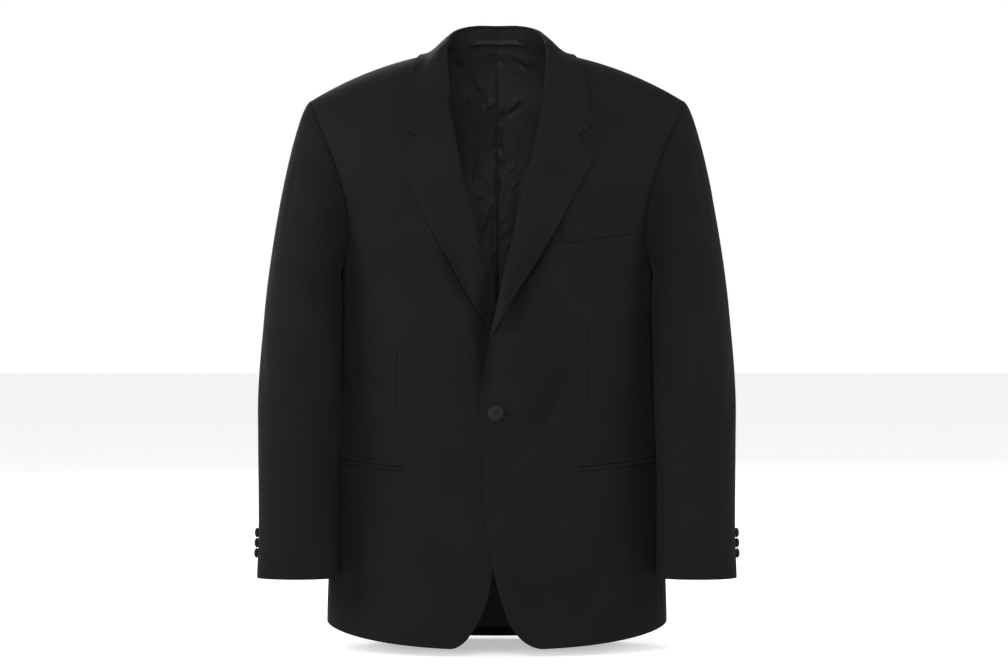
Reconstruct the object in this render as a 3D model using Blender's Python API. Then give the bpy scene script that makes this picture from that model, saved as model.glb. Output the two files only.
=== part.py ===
"""A one-button blazer with notch lapels, in its worn form and hollow, as thin walls of cloth.

Metres, +Z up, +X the wearer's left, -Y the front. The origin is the middle of the neck
opening, level with the neck ends of the shoulder seams. Every panel is cut from one
torso form: a section at each height, rounded over into a shoulder ridge. A place on the
form is (angle, height), with angle 0 at the front centre, 90 at the side, 180 at the
back centre.
"""

import math
from collections import namedtuple

import bmesh
import bpy
import numpy as np

# Cloth
CLOTH = 0.0018  # a panel's wall: cloth, canvas and lining together
LINING = 0.0012
SEAM_GAP = 0.0003

# Torso form
SECTION_POWER = 2.3  # 2 is an ellipse, more is squarer
Section = namedtuple("Section", "height half_width front back")
SECTIONS = [
    Section(-0.775, 0.2210, 0.130, 0.124),
    Section(-0.700, 0.2195, 0.130, 0.122),
    Section(-0.600, 0.2150, 0.128, 0.116),
    Section(-0.500, 0.2100, 0.124, 0.106),
    Section(-0.450, 0.2080, 0.121, 0.102),
    Section(-0.400, 0.2070, 0.121, 0.103),
    Section(-0.330, 0.2050, 0.124, 0.110),
    Section(-0.290, 0.2020, 0.125, 0.114),
    Section(-0.250, 0.2030, 0.125, 0.117),
    Section(-0.200, 0.2130, 0.122, 0.118),
    Section(-0.140, 0.2310, 0.118, 0.114),
    Section(-0.100, 0.2450, 0.114, 0.108),
    Section(-0.050, 0.2530, 0.110, 0.100),
    Section(0.045, 0.2580, 0.100, 0.095),
]
NECK_POINT = (0.072, 0.000)  # across and height of the shoulder seam's neck end
SHOULDER_POINT = (0.242, -0.063)
SEAM_FORWARD = (0.012, 0.004)  # how far back the shoulder seam lies at its two ends
SHOULDER_BOW = 0.0095  # rise of the shoulder's middle over a straight line
ROUNDING_FRONT = (0.200, 0.120)  # height of the roll over the shoulder, neck and tip
ROUNDING_BACK = (0.165, 0.110)

# Hem
HEM_SIDE = -0.738
HEM_FRONT_DROP = 0.0262
HEM_BACK_DROP = 0.0325
HEM_POWER = 1.4
CORNER_START = 0.0289  # the hem rises from its corner's end to here by the corner's lift
CORNER_END = 0.060
CORNER_LIFT = 0.0122

# Front edge and roll line of each front, from the rounded corner up to the neck
Edge = namedtuple("Edge", "height across")
EDGE_OVER = [
    Edge(-0.7505, 0.0289),
    Edge(-0.7349, 0.0173),
    Edge(-0.7146, 0.0087),
    Edge(-0.6913, 0.0014),
    Edge(-0.6699, -0.0060),
    Edge(-0.6400, -0.0122),
    Edge(-0.6000, -0.0153),
    Edge(-0.5200, -0.0170),
    Edge(-0.4400, -0.0172),
    Edge(-0.3950, -0.0155),
    Edge(-0.3600, -0.0080),
    Edge(-0.3320, 0.0015),
    Edge(-0.2492, 0.0192),
    Edge(-0.1937, 0.0303),
    Edge(-0.1228, 0.0472),
    Edge(-0.0613, 0.0600),
    Edge(-0.0220, 0.0680),
    Edge(0.0000, 0.0720),
]
EDGE_UNDER = [
    Edge(-0.7505, 0.0367),
    Edge(-0.7291, 0.0231),
    Edge(-0.7089, 0.0144),
    Edge(-0.6888, 0.0087),
    Edge(-0.6699, 0.0055),
    Edge(-0.6400, -0.0010),
    Edge(-0.6000, -0.0075),
    Edge(-0.5200, -0.0120),
    Edge(-0.4400, -0.0120),
    Edge(-0.3950, -0.0065),
    Edge(-0.3600, 0.0030),
    Edge(-0.3320, 0.0100),
    Edge(-0.2880, 0.0148),
    Edge(-0.2355, 0.0252),
    Edge(-0.1654, 0.0420),
    Edge(-0.0938, 0.0555),
    Edge(-0.0613, 0.0612),
    Edge(-0.0220, 0.0680),
    Edge(0.0000, 0.0720),
]
OVERLAP_LIFT = 0.0027  # the left front lies this far out over the right one
OVERLAP_ACROSS = (0.022, 0.062)
OVERLAP_HEIGHT = (-0.33, -0.20)
SETBACK = 0.0056  # a front ends this far out of its roll line, under the lapel
SETBACK_HEIGHT = (-0.372, -0.356)
BREAK_HEIGHT = -0.354  # where the roll line starts

# Seams
FRONT_SEAM_TURN = 150  # where the seams of the side panel meet the armhole
BACK_SEAM_TURN = 225
FRONT_SEAM_HEM = 73.0  # their angles at the hem
BACK_SEAM_HEM = 116.0
NeckPlace = namedtuple("NeckPlace", "share across height behind")
NECK_SEAM = [  # share of the way from the gorge round to the back centre
    NeckPlace(0.00, 0.0600, -0.0613, False),
    NeckPlace(0.25, 0.0680, -0.0220, False),
    NeckPlace(0.52, 0.0720, 0.0000, False),
    NeckPlace(0.68, 0.0600, 0.0005, True),
    NeckPlace(0.84, 0.0350, 0.0050, True),
    NeckPlace(1.00, 0.0000, 0.0100, True),
]

# Armhole: turn 0 at the shoulder point, 90 at the front, 180 under the arm
Armhole = namedtuple("Armhole", "turn angle height")
ARMHOLE = [
    Armhole(0, 73.6, -0.0630),
    Armhole(15, 71.4, -0.0730),
    Armhole(30, 67.2, -0.0950),
    Armhole(45, 65.2, -0.1180),
    Armhole(75, 63.2, -0.1660),
    Armhole(105, 64.5, -0.2130),
    Armhole(135, 69.5, -0.2580),
    Armhole(150, 75.0, -0.2760),
    Armhole(165, 82.0, -0.2870),
    Armhole(180, 90.0, -0.2900),
    Armhole(200, 99.0, -0.2850),
    Armhole(225, 108.5, -0.2640),
    Armhole(250, 114.5, -0.2280),
    Armhole(275, 116.8, -0.1860),
    Armhole(300, 116.4, -0.1450),
    Armhole(322, 114.4, -0.1080),
    Armhole(345, 108.8, -0.0730),
    Armhole(360, 106.4, -0.0630),
]
ARMHOLE_FOOT = min(place.height for place in ARMHOLE)
TURN_STEP = 15

# Sleeve
SleeveRing = namedtuple("SleeveRing", "height across forward half_width half_depth")
SLEEVE_RINGS = [
    SleeveRing(-0.677, 0.2545, 0.075, 0.0515, 0.0420),
    SleeveRing(-0.620, 0.2530, 0.072, 0.0512, 0.0470),
    SleeveRing(-0.560, 0.2520, 0.068, 0.0525, 0.0530),
    SleeveRing(-0.500, 0.2500, 0.061, 0.0555, 0.0590),
    SleeveRing(-0.450, 0.2480, 0.053, 0.0582, 0.0640),
    SleeveRing(-0.400, 0.2450, 0.043, 0.0592, 0.0690),
    SleeveRing(-0.330, 0.2415, 0.027, 0.0575, 0.0750),
]
SLEEVE_FRONT_SEAM = 165
SLEEVE_BACK_SEAM_TOP = 285
SLEEVE_BACK_SEAM_CUFF = 340
SLEEVE_SEAM_DRIFT = (0.2, 2.0)  # places along the sleeve between which that seam moves over
SLEEVE_SEAM_GAP = 0.0005  # wider than the others, as these seams bend more
SLEEVE_CLEARANCE = 0.0035  # between a hanging sleeve and the body
SLEEVE_START = 0.0004  # between them where the sleeve leaves the armhole
SLEEVE_SOFTENING = 0.006  # roundness of a sleeve where it starts to lie along the body
ARMPIT_DEPTH = 0.030  # the clearance grows to its full size over this height
CAP_ROWS = 8
ARM_ROWS = 8

# How a sleeve leaves the armhole and enters its first ring: outer, front, inner, back
CAP_OUT_ACROSS = (0.050, 0.045, 0.022, 0.045)
CAP_OUT_FORWARD = (0.000, 0.035, 0.004, -0.020)
CAP_OUT_UP = (-0.020, -0.030, 0.012, -0.030)
CAP_IN_ACROSS = (0.030, 0.010, 0.000, 0.010)
CAP_IN_FORWARD = (0.050, 0.040, 0.010, 0.060)
CAP_IN_DOWN = (0.350, 0.220, 0.050, 0.220)

# Folded edges of lapels and collar
FOLD_RADIUS = 0.0024
FOLD_RISE = 0.0006
FOLD_TUCK = 0.0008  # how far the fold runs on under itself
FOLD_STEPS = (-90, -135, 180, 135, 90)
LEAF_SHARES = (0.22, 0.45, 0.67, 0.84, 1.0)
LAPEL_BELLY = 0.0028  # how far a leaf bulges near its fold
BELLY_LEAF = 0.06  # leaves shorter than this bulge less
BELLY_POWER = 0.6  # under 1 brings the bulge's top nearer the fold
SAG_POWER = 1.8
COLLAR_SAG = 0.0042  # how far the collar's leaf dips towards the shoulder
BELLY_SHARES = (0.10, 0.40)  # shares of the way round over which the collar's bulge ends,
SAG_STARTS = (0.20, 0.40)  # its dip starts,
SAG_ENDS = (0.62, 0.95)  # and its dip ends
LAPEL_ROWS = 13
NOTCH_ROWS = (0.5, 1.0)  # share of the lapel's height over which its rows turn to the gorge

# Lapel outlines from the break to the tip, then the notch; one row a height
LAPEL_EDGE_OVER = [
    Edge(-0.3520, 0.0010),
    Edge(-0.3380, 0.0081),
    Edge(-0.3048, 0.0303),
    Edge(-0.2633, 0.0594),
    Edge(-0.2016, 0.0943),
    Edge(-0.1481, 0.1210),
]
LAPEL_EDGE_UNDER = [
    Edge(-0.3520, 0.0138),
    Edge(-0.3380, 0.0240),
    Edge(-0.3186, 0.0362),
    Edge(-0.2820, 0.0590),
    Edge(-0.2379, 0.0807),
    Edge(-0.1481, 0.1211),
]
GORGE_TOP = -0.0613  # height at which the collar's seam leaves the roll line
NOTCH = (0.1020, -0.1164)
COLLAR_TIP = (0.1220, -0.1014)

# Collar, from the gorge round to the back centre: crest of the fold and foot of the leaf
Collar = namedtuple("Collar", "share crest_x crest_y crest_z foot_x foot_z behind")
COLLAR = [
    Collar(0.00, 0.0600, -0.0955, -0.0613, 0.1220, -0.1014, False),
    Collar(0.20, 0.0645, -0.0580, -0.0165, 0.1150, -0.0600, False),
    Collar(0.37, 0.0652, -0.0280, 0.0105, 0.1095, -0.0270, False),
    Collar(0.52, 0.0610, 0.0040, 0.0272, 0.1000, -0.0052, False),
    Collar(0.68, 0.0520, 0.0340, 0.0362, 0.0830, -0.0090, True),
    Collar(0.84, 0.0320, 0.0520, 0.0398, 0.0470, -0.0125, True),
    Collar(1.00, 0.0000, 0.0580, 0.0405, 0.0000, -0.0130, True),
]
COLLAR_ROWS = 13  # on each side of the back centre
COLLAR_REST = 0.0028  # how far the leaf's face stands off the cloth under it
NOTCH_REACH = 0.50  # share of the way round over which the notch shapes the leaf
FLAT_REACH = 0.30  # share over which the leaf lies flat on the front as a lapel does
STAND_START = 0.25
STAND_ROWS = 12
STAND_LEVELS = 3
STAND_FOOT_IN = 0.0012
STAND_FOOT_UP = 0.0012

# Pockets
WELT_ACROSS = (0.0835, 0.1700)
WELT_FOOT = (-0.2525, -0.2385)  # its lower edge at its two ends
WELT_HEIGHT = 0.0262
JET_START_LEFT = 0.1052
JET_START_RIGHT = 0.1198
JET_LENGTH = 0.150
JET_HEIGHT = 0.0048
JET_SPLIT = -0.5346  # height of the pocket mouth at its front end
JET_RISE = 0.050  # rise of the mouth for each metre along it
JET_LAST_ANGLE = 95  # a jet's length is measured round the side as far as this angle,
MEASURING_STEP = 0.2  # in steps of this angle
TRIM_WALL = 0.0014
TRIM_COLUMNS = 12

# Buttons and loop
ButtonSize = namedtuple("ButtonSize", "radius height sides")
FRONT_BUTTON = ButtonSize(0.0103, 0.0048, 20)
FRONT_BUTTON_AT = (-0.0014, -0.4667)
SLEEVE_BUTTON = ButtonSize(0.0062, 0.0042, 12)
SLEEVE_BUTTON_HEIGHTS = (-0.6200, -0.6330, -0.6460)
SLEEVE_BUTTON_TURN = 356
BUTTON_PROFILE = [(0.80, 0.0), (1.0, 0.30), (0.97, 0.62), (0.70, 0.92)]  # shares of its size
LOOP_LENGTH = 0.062
LOOP_HEIGHT = 0.0062
LOOP_MIDDLE = 0.0182
LOOP_WALL = 0.0012
LOOP_GAP = 0.0006

# Rows and columns
LOW_ROWS = 14
BACK_LOW_TOP = -0.300  # height at the back's middle where its low rows end
ROW_BUNCHING = 1.3  # rows crowd towards the hem, and columns towards the front edge
FRONT_COLUMNS = 12
NECK_COLUMNS = 4
BACK_SHOULDER_COLUMNS = 7
LINING_HEM = 0.013  # the lining ends this far above the back's hem
LINING_INSET = 0.0005

BLACK = (0.013, 0.013, 0.015)
SATIN = (0.020, 0.020, 0.023)
BUTTON_BLACK = (0.016, 0.016, 0.018)


# Curves through tables


def smooth(knots, values, at):
    """A smooth curve through values at growing knots: cubic pieces with averaged slopes."""
    knots, values, at = np.asarray(knots, float), np.asarray(values, float), np.asarray(at, float)
    steps = np.diff(values) / np.diff(knots)
    slopes = np.concatenate([steps[:1], (steps[1:] + steps[:-1]) / 2, steps[-1:]])
    piece = np.clip(np.searchsorted(knots, at) - 1, 0, len(knots) - 2)
    width = knots[piece + 1] - knots[piece]
    t = np.clip((at - knots[piece]) / width, 0, 1)
    start = (1 + 2 * t) * (1 - t) ** 2 * values[piece] + t * (1 - t) ** 2 * width * slopes[piece]
    end = t**2 * (3 - 2 * t) * values[piece + 1] - t**2 * (1 - t) * width * slopes[piece + 1]
    return start + end


def column(rows, name, key, at):
    """The smooth curve through one named column of a table, read at places of its key."""
    return smooth([getattr(r, key) for r in rows], [getattr(r, name) for r in rows], at)


def step_up(value, limits):
    """0 before the first limit, 1 after the second, and soft between."""
    t = np.clip((value - limits[0]) / (limits[1] - limits[0]), 0, 1)
    return t * t * (3 - 2 * t)


def eased(count):
    """Shares from 0 to 1 in count steps, closer and closer towards 1."""
    return np.sin(np.linspace(0, math.pi / 2, count + 1))


def spaced(start, end, shares):
    return start + (end - start) * np.asarray(shares)


# The torso form


def ridge_height(across):
    """Height of the shoulder ridge at a distance from the middle."""
    share = (np.abs(across) - NECK_POINT[0]) / (SHOULDER_POINT[0] - NECK_POINT[0])
    bow = SHOULDER_BOW * 4 * share * (1 - share) * (share > 0)
    return spaced(NECK_POINT[1], SHOULDER_POINT[1], share) + bow


def shoulder_share(across):
    return np.clip((np.abs(across) - NECK_POINT[0]) / (SHOULDER_POINT[0] - NECK_POINT[0]), 0, 1)


def depth_at(across, height, behind):
    """The form's Y at a distance from the middle and a height, in front or behind."""
    width = column(SECTIONS, "half_width", "height", height)
    front, back = (column(SECTIONS, side, "height", height) for side in ("front", "back"))
    reach = (1 - np.clip(np.abs(across) / width, 0, 1) ** SECTION_POWER) ** (1 / SECTION_POWER)
    full = np.where(behind, back, -front) * reach
    share = shoulder_share(across)
    roll = np.where(behind, spaced(*ROUNDING_BACK, share), spaced(*ROUNDING_FRONT, share))
    below = np.clip((ridge_height(across) - height) / roll, 0, 1)
    seam = spaced(*SEAM_FORWARD, share)
    return seam + (full - seam) * np.sqrt(1 - (1 - below) ** 2)


def across_at(angle, height):
    turned = np.sin(np.radians(angle))
    width = column(SECTIONS, "half_width", "height", height)
    return np.sign(turned) * width * np.abs(turned) ** (2 / SECTION_POWER)


def angle_at(across, height, behind=False):
    width = column(SECTIONS, "half_width", "height", height)
    share = np.clip(np.abs(across) / width, 0, 1) ** (SECTION_POWER / 2)
    angle = np.sign(across) * np.degrees(np.arcsin(share))
    return 180 - angle if behind else angle


def form_point(angle, height):
    """Points on the form, on the wearer's left for angles from 0 to 180."""
    across = across_at(angle, height)
    behind = np.cos(np.radians(angle)) < 0
    return np.stack([across, depth_at(across, height, behind), height + 0 * across], -1)


def rolled_point(across, roll, behind):
    """Points on the form by roll: under 0 over the shoulder, over 0 straight down."""
    share = shoulder_share(across)
    reach = np.where(behind, spaced(*ROUNDING_BACK, share), spaced(*ROUNDING_FRONT, share))
    height = ridge_height(across) - reach * (1 + np.where(roll < 0, np.sin(roll), roll))
    return np.stack([across, depth_at(across, height, behind), height], -1)


def form_normal(angle, height, step=0.02):
    """The form's outward direction, from points a step of angle and of roll away."""
    across = across_at(angle, height)
    behind = np.cos(np.radians(angle)) < 0
    share = shoulder_share(across)
    reach = np.where(behind, spaced(*ROUNDING_BACK, share), spaced(*ROUNDING_FRONT, share))
    below = (ridge_height(across) - height) / reach - 1
    roll = np.where(below < 0, np.arcsin(np.clip(below, -1, 0)), below)
    sides = []
    for turned in (angle + step, angle - step):
        behind_here = np.cos(np.radians(turned)) < 0
        sides.append(rolled_point(across_at(turned, height), roll, behind_here))
    up = rolled_point(across, np.maximum(roll, step - math.pi / 2) - step, behind)
    down = rolled_point(across, roll + step, behind)
    normal = np.cross(sides[0] - sides[1], up - down)
    return normal / np.linalg.norm(normal, axis=-1, keepdims=True)


def hem_height(angle):
    facing = np.cos(np.radians(angle))
    drop = np.where(facing > 0, HEM_FRONT_DROP, HEM_BACK_DROP)
    return HEM_SIDE - drop * np.abs(facing) ** HEM_POWER


def armhole(turn):
    """(angle, height) of the armhole at turns from 0 to 360."""
    return np.stack([column(ARMHOLE, name, "turn", turn) for name in ("angle", "height")], -1)


def lifted(across, height, over):
    """How far a front stands off the form: the left one rises over the right one."""
    near = 1 - step_up(across, OVERLAP_ACROSS)
    low = 1 - step_up(height, OVERLAP_HEIGHT)
    return OVERLAP_LIFT * near * low * (1.0 if over else 0.0)


def on_front(across, height, over, off=0.0):
    """Points on a front of the wearer's left, moved out by its lift and by off."""
    flat = np.stack([across, depth_at(across, height, False), height + 0 * across], -1)
    out = np.asarray(lifted(across, height, over) + off)
    return flat + form_normal(angle_at(across, height), height) * out[..., None]


# Meshes


def coons(left, right, bottom, top):
    """A grid between four edges, each a list of (angle, height): rows follow left and right."""
    b = np.linspace(0, 1, len(left))[:, None, None]
    a = np.linspace(0, 1, len(bottom))[None, :, None]
    sides = (1 - a) * left[:, None] + a * right[:, None]
    ends = (1 - b) * bottom[None] + b * top[None]
    low = (1 - a) * bottom[0] + a * bottom[-1]
    high = (1 - a) * top[0] + a * top[-1]
    return sides + ends - (1 - b) * low - b * high


def wall(face, normal, thickness=CLOTH):
    """A face grid with the grid of its inner side, as one array."""
    return np.stack([face, face - normal * thickness])


def grid_normal(grid):
    """The outward directions of a grid, from its own points."""
    normal = np.cross(np.gradient(grid, axis=1), np.gradient(grid, axis=0))
    return normal / np.linalg.norm(normal, axis=-1, keepdims=True)


def pulled_in(walls, edges, gap=SEAM_GAP / 2):
    """The wall with the named edges drawn back along its surface by a seam's half gap."""
    walls = walls.copy()
    ends = {"bottom": (0, 1), "top": (-1, -2), "left": (0, 1), "right": (-1, -2)}
    for edge in edges:
        at, inner = ends[edge]
        turned = walls if edge in ("bottom", "top") else walls.transpose(0, 2, 1, 3)
        way = turned[0, inner] - turned[0, at]
        turned[:, at] += way / np.linalg.norm(way, axis=-1, keepdims=True) * gap
    return walls


def mirrored(walls, side):
    """The wall on the wearer's left for side 1, or on the right, wound to face out."""
    return walls if side > 0 else (walls * [-1, 1, 1])[:, :, ::-1]


def material(name, colour, roughness):
    finish = bpy.data.materials.new(name)
    finish.use_nodes = True
    shader = finish.node_tree.nodes["Principled BSDF"]
    shader.inputs["Base Color"].default_value = (*colour, 1)
    shader.inputs["Roughness"].default_value = roughness
    shader.inputs["Metallic"].default_value = 0.0
    return finish


def place(name, mesh, finish):
    piece = bpy.data.objects.new(name, mesh)
    piece.data.materials.append(finish)
    bpy.context.scene.collection.objects.link(piece)
    for face in mesh.polygons:
        face.use_smooth = True
    return piece


def sheet(name, walls, finish):
    """A panel: two grids of points, its face and its inner side, closed round their rim."""
    _, rows, columns, _ = walls.shape
    shape = bmesh.new()
    face, inner = ([[shape.verts.new(p) for p in row] for row in grid] for grid in walls)
    for j in range(rows - 1):
        for i in range(columns - 1):
            for far in ((j, i + 1), (j + 1, i)):
                corners = ((j, i), far, (j + 1, i + 1))[:: 1 if far[0] == j else -1]
                shape.faces.new([face[r][c] for r, c in corners])
                shape.faces.new([inner[r][c] for r, c in corners[::-1]])
    rim = [(0, i) for i in range(columns - 1)] + [(j, columns - 1) for j in range(rows - 1)]
    rim += [(rows - 1, i) for i in range(columns - 1, 0, -1)] + [(j, 0) for j in range(rows - 1, 0, -1)]
    for (r, c), (next_r, next_c) in zip(rim, rim[1:] + rim[:1]):
        shape.faces.new((face[next_r][next_c], face[r][c], inner[r][c], inner[next_r][next_c]))
    mesh = bpy.data.meshes.new(name)
    shape.to_mesh(mesh)
    shape.free()
    return place(name, mesh, finish)


def button(name, size, finish, centre, outward):
    """A domed disc, turned from its profile and set on its flat back."""
    radius, height, sides = size
    shape = bmesh.new()
    rings = []
    for reach, rise in BUTTON_PROFILE:
        angles = np.arange(sides) * 2 * math.pi / sides
        ring = [(radius * reach * math.cos(a), radius * reach * math.sin(a)) for a in angles]
        rings.append([shape.verts.new((*p, height * rise)) for p in ring])
    for lower, upper in zip(rings, rings[1:]):
        for i in range(sides):
            k = (i + 1) % sides
            shape.faces.new((lower[i], lower[k], upper[k], upper[i]))
    shape.faces.new(rings[0][::-1])
    crown = shape.verts.new((0, 0, height))
    for i in range(sides):
        shape.faces.new((rings[-1][i], rings[-1][(i + 1) % sides], crown))
    mesh = bpy.data.meshes.new(name)
    shape.to_mesh(mesh)
    shape.free()
    piece = place(name, mesh, finish)
    way = np.asarray(outward) / np.linalg.norm(outward)
    piece.location = np.asarray(centre) + way * SEAM_GAP * 2
    piece.rotation_euler = (0, math.acos(way[2]), math.atan2(way[1], way[0]))
    return piece


# Body panels


def low_shares():
    return (np.arange(LOW_ROWS + 1) / LOW_ROWS) ** ROW_BUNCHING


def turns(start, end):
    """Armhole places after start, up to end, a step apart."""
    way = TURN_STEP if end > start else -TURN_STEP
    return armhole(np.arange(start, end + way, way))[1:]


def side_seam(seam_turn, hem_angle):
    """A side panel's seam as (angle, height) rows, from the hem to the armhole."""
    top = armhole(float(seam_turn))
    angles = spaced(hem_angle, top[0], low_shares())
    return np.stack([angles, spaced(hem_height(hem_angle), top[1], low_shares())], -1)


def front_edge(rows, height):
    """A front's inner edge: the cut edge, and above the break the roll line set back."""
    return column(rows, "across", "height", height) + SETBACK * step_up(height, SETBACK_HEIGHT)


def front_grid(over):
    rows = EDGE_OVER if over else EDGE_UNDER
    up_rows = FRONT_SEAM_TURN // TURN_STEP
    right = np.concatenate([side_seam(FRONT_SEAM_TURN, FRONT_SEAM_HEM), turns(FRONT_SEAM_TURN, 0)])
    low = spaced(rows[0].height, BREAK_HEIGHT, low_shares())
    heights = np.concatenate([low, spaced(low[-1], NECK_POINT[1], eased(up_rows))[1:]])
    left = np.stack([angle_at(front_edge(rows, heights), heights), heights], -1)
    left[-1] = angle_at(NECK_POINT[0] + SETBACK / 2, NECK_POINT[1]), NECK_POINT[1]
    shares = np.linspace(0, 1, FRONT_COLUMNS + 1) ** ROW_BUNCHING
    hem_angles = spaced(left[0, 0], FRONT_SEAM_HEM, shares)
    hem = hem_height(hem_angles)
    from_corner = CORNER_END - across_at(hem_angles, hem)
    corner = np.clip(from_corner / (CORNER_END - CORNER_START), 0, 1)
    bottom = np.stack([hem_angles, hem + CORNER_LIFT * corner**2], -1)
    bottom[0] = left[0]
    seam = spaced(NECK_POINT[0] + SETBACK / 2, SHOULDER_POINT[0], shares)
    top = np.stack([angle_at(seam, ridge_height(seam)), ridge_height(seam)], -1)
    top[-1] = right[-1]
    places = coons(left, right, bottom, top)
    across = across_at(places[..., 0], places[..., 1])
    heights = np.minimum(places[..., 1], ridge_height(across))
    normal = form_normal(places[..., 0], heights)
    return pulled_in(wall(on_front(across, heights, over), normal), ("right", "top"))


def side_grid():
    left = side_seam(FRONT_SEAM_TURN, FRONT_SEAM_HEM)
    right = side_seam(BACK_SEAM_TURN, BACK_SEAM_HEM)
    top = np.concatenate([left[-1:], turns(FRONT_SEAM_TURN, BACK_SEAM_TURN)])
    hem_angles = np.linspace(FRONT_SEAM_HEM, BACK_SEAM_HEM, len(top))
    bottom = np.stack([hem_angles, hem_height(hem_angles)], -1)
    places = coons(left, right, bottom, top)
    angles, heights = places[..., 0], places[..., 1]
    walls = wall(form_point(angles, heights), form_normal(angles, heights))
    return pulled_in(walls, ("left", "right", "top"))


def back_grid():
    up_rows = (360 - BACK_SEAM_TURN) // TURN_STEP
    left = np.concatenate([side_seam(BACK_SEAM_TURN, BACK_SEAM_HEM), turns(BACK_SEAM_TURN, 360)])
    low = spaced(hem_height(180.0), BACK_LOW_TOP, low_shares())
    nape = NECK_SEAM[-1].height
    heights = np.concatenate([low, spaced(low[-1], nape, eased(up_rows))[1:]])
    right = np.stack([np.full(len(heights), 180.0), heights], -1)
    neck = np.linspace(0, NECK_POINT[0], NECK_COLUMNS + 1)[::-1]
    neckline = [(place.across, place.height) for place in NECK_SEAM[:1:-1]]
    neck_heights = np.interp(neck, *zip(*neckline))
    shoulder = np.linspace(SHOULDER_POINT[0], NECK_POINT[0], BACK_SHOULDER_COLUMNS + 1)[:-1]
    across = np.concatenate([shoulder, neck])
    top_heights = np.concatenate([ridge_height(shoulder), neck_heights])
    top = np.stack([angle_at(across, top_heights, behind=True), top_heights], -1)
    top[0] = left[-1]
    hem_angles = np.linspace(BACK_SEAM_HEM, 180, len(top))
    bottom = np.stack([hem_angles, hem_height(hem_angles)], -1)
    places = coons(left, right, bottom, top)
    across = across_at(places[..., 0], places[..., 1])
    heights = np.minimum(places[..., 1], ridge_height(across))
    points = np.stack([across, depth_at(across, heights, True), heights], -1)
    return pulled_in(wall(points, form_normal(places[..., 0], heights)), ("left", "right", "top"))


def lining_grid():
    """The back's own points moved in past its wall, short of its hem."""
    back = back_grid()
    inwards = (back[1] - back[0]) / CLOTH
    face = back[1] + inwards * LINING_INSET
    walls = np.stack([face, face + inwards * LINING])
    rise = walls[0, 1] - walls[0, 0]
    walls[:, 0] += rise * (LINING_HEM / np.abs(rise[:, 2:]))
    return walls


# Sleeves


def around(values, turn):
    """A soft blend of four values, for turns 0, 90, 180 and 270."""
    outer, front, inner, back = values
    angle = np.radians(turn)
    once = (outer - inner) / 2 * np.cos(angle) + (front - back) / 2 * np.sin(angle)
    twice = (outer - front + inner - back) / 4 * np.cos(2 * angle)
    return sum(values) / 4 + once + twice


def ring_point(turn, height):
    across, forward, half_width, half_depth = (
        column(SLEEVE_RINGS, name, "height", height) for name in SleeveRing._fields[1:]
    )
    angle = np.radians(turn)
    x = across + half_width * np.cos(angle)
    return np.stack([x, -forward - half_depth * np.sin(angle), height + 0 * x], -1)


def clear_of_torso(points):
    """Points moved out sideways where they would touch the body under the armhole."""
    x, y, z = (points[..., k] for k in range(3))
    depth = np.where(y > 0, column(SECTIONS, "back", "height", z), column(SECTIONS, "front", "height", z))
    reach = (1 - np.clip(np.abs(y) / depth, 0, 1) ** SECTION_POWER) ** (1 / SECTION_POWER)
    below = step_up(-z, (-ARMHOLE_FOOT, ARMPIT_DEPTH - ARMHOLE_FOOT))
    clearance = spaced(SLEEVE_START, SLEEVE_CLEARANCE, below)
    least = column(SECTIONS, "half_width", "height", z) * reach + clearance
    soft = SLEEVE_SOFTENING * below
    eased_out = (x + least + np.hypot(x - least, soft)) / 2
    return np.stack([np.where(z < ARMHOLE_FOOT, eased_out, x), y, z], -1)


def sleeve_point(turn, along):
    """A sleeve's face: along 0 is the armhole, 1 the first whole ring, 2 the cuff."""
    turn, along = np.broadcast_arrays(np.asarray(turn, float), np.asarray(along, float))
    t = np.clip(along, 0, 1)[..., None]
    first, cuff = SLEEVE_RINGS[-1].height, SLEEVE_RINGS[0].height
    places = armhole(turn % 360)
    start = form_point(places[..., 0], places[..., 1])
    leave = [around(CAP_OUT_ACROSS, turn), -around(CAP_OUT_FORWARD, turn), around(CAP_OUT_UP, turn)]
    enter = [around(CAP_IN_ACROSS, turn), -around(CAP_IN_FORWARD, turn), -around(CAP_IN_DOWN, turn)]
    leave, enter = np.stack(leave, -1), np.stack(enter, -1)
    start = start + leave / np.linalg.norm(leave, axis=-1, keepdims=True) * SLEEVE_START
    end = ring_point(turn, np.full(turn.shape, first))
    cap = (1 + 2 * t) * (1 - t) ** 2 * start + t * (1 - t) ** 2 * leave
    cap = cap + t**2 * (3 - 2 * t) * end - t**2 * (1 - t) * enter
    arm = ring_point(turn, spaced(first, cuff, np.clip(along - 1, 0, 1)))
    return clear_of_torso(np.where(along[..., None] <= 1, cap, arm))


def sleeve_normal(turn, along, turn_step=0.8, step=0.002):
    """A sleeve's outward direction, from points a step away on it."""
    across = sleeve_point(turn - turn_step, along) - sleeve_point(turn + turn_step, along)
    low, high = np.minimum(along + step, 2), np.maximum(along - step, 0)
    normal = np.cross(sleeve_point(turn, low) - sleeve_point(turn, high), across)
    return normal / np.linalg.norm(normal, axis=-1, keepdims=True)


def sleeve_grid(upper):
    cap = np.linspace(0, 1, CAP_ROWS + 1)
    along = np.concatenate([cap, 1 + np.linspace(0, 1, ARM_ROWS + 1)[1:]])
    back_seam = spaced(SLEEVE_BACK_SEAM_TOP, SLEEVE_BACK_SEAM_CUFF, step_up(along, SLEEVE_SEAM_DRIFT))
    front_seam = np.full(len(along), SLEEVE_FRONT_SEAM)
    start, end = (back_seam - 360, front_seam) if upper else (front_seam, back_seam)
    columns = round((end - start)[0] / TURN_STEP)
    turn = start[:, None] + (end - start)[:, None] * np.linspace(0, 1, columns + 1)
    along = along[:, None] + 0 * turn
    walls = wall(sleeve_point(turn, along), sleeve_normal(turn, along))
    return pulled_in(walls, ("left", "right"), SLEEVE_SEAM_GAP / 2)[:, ::-1, ::-1]


# Folded edges


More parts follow.
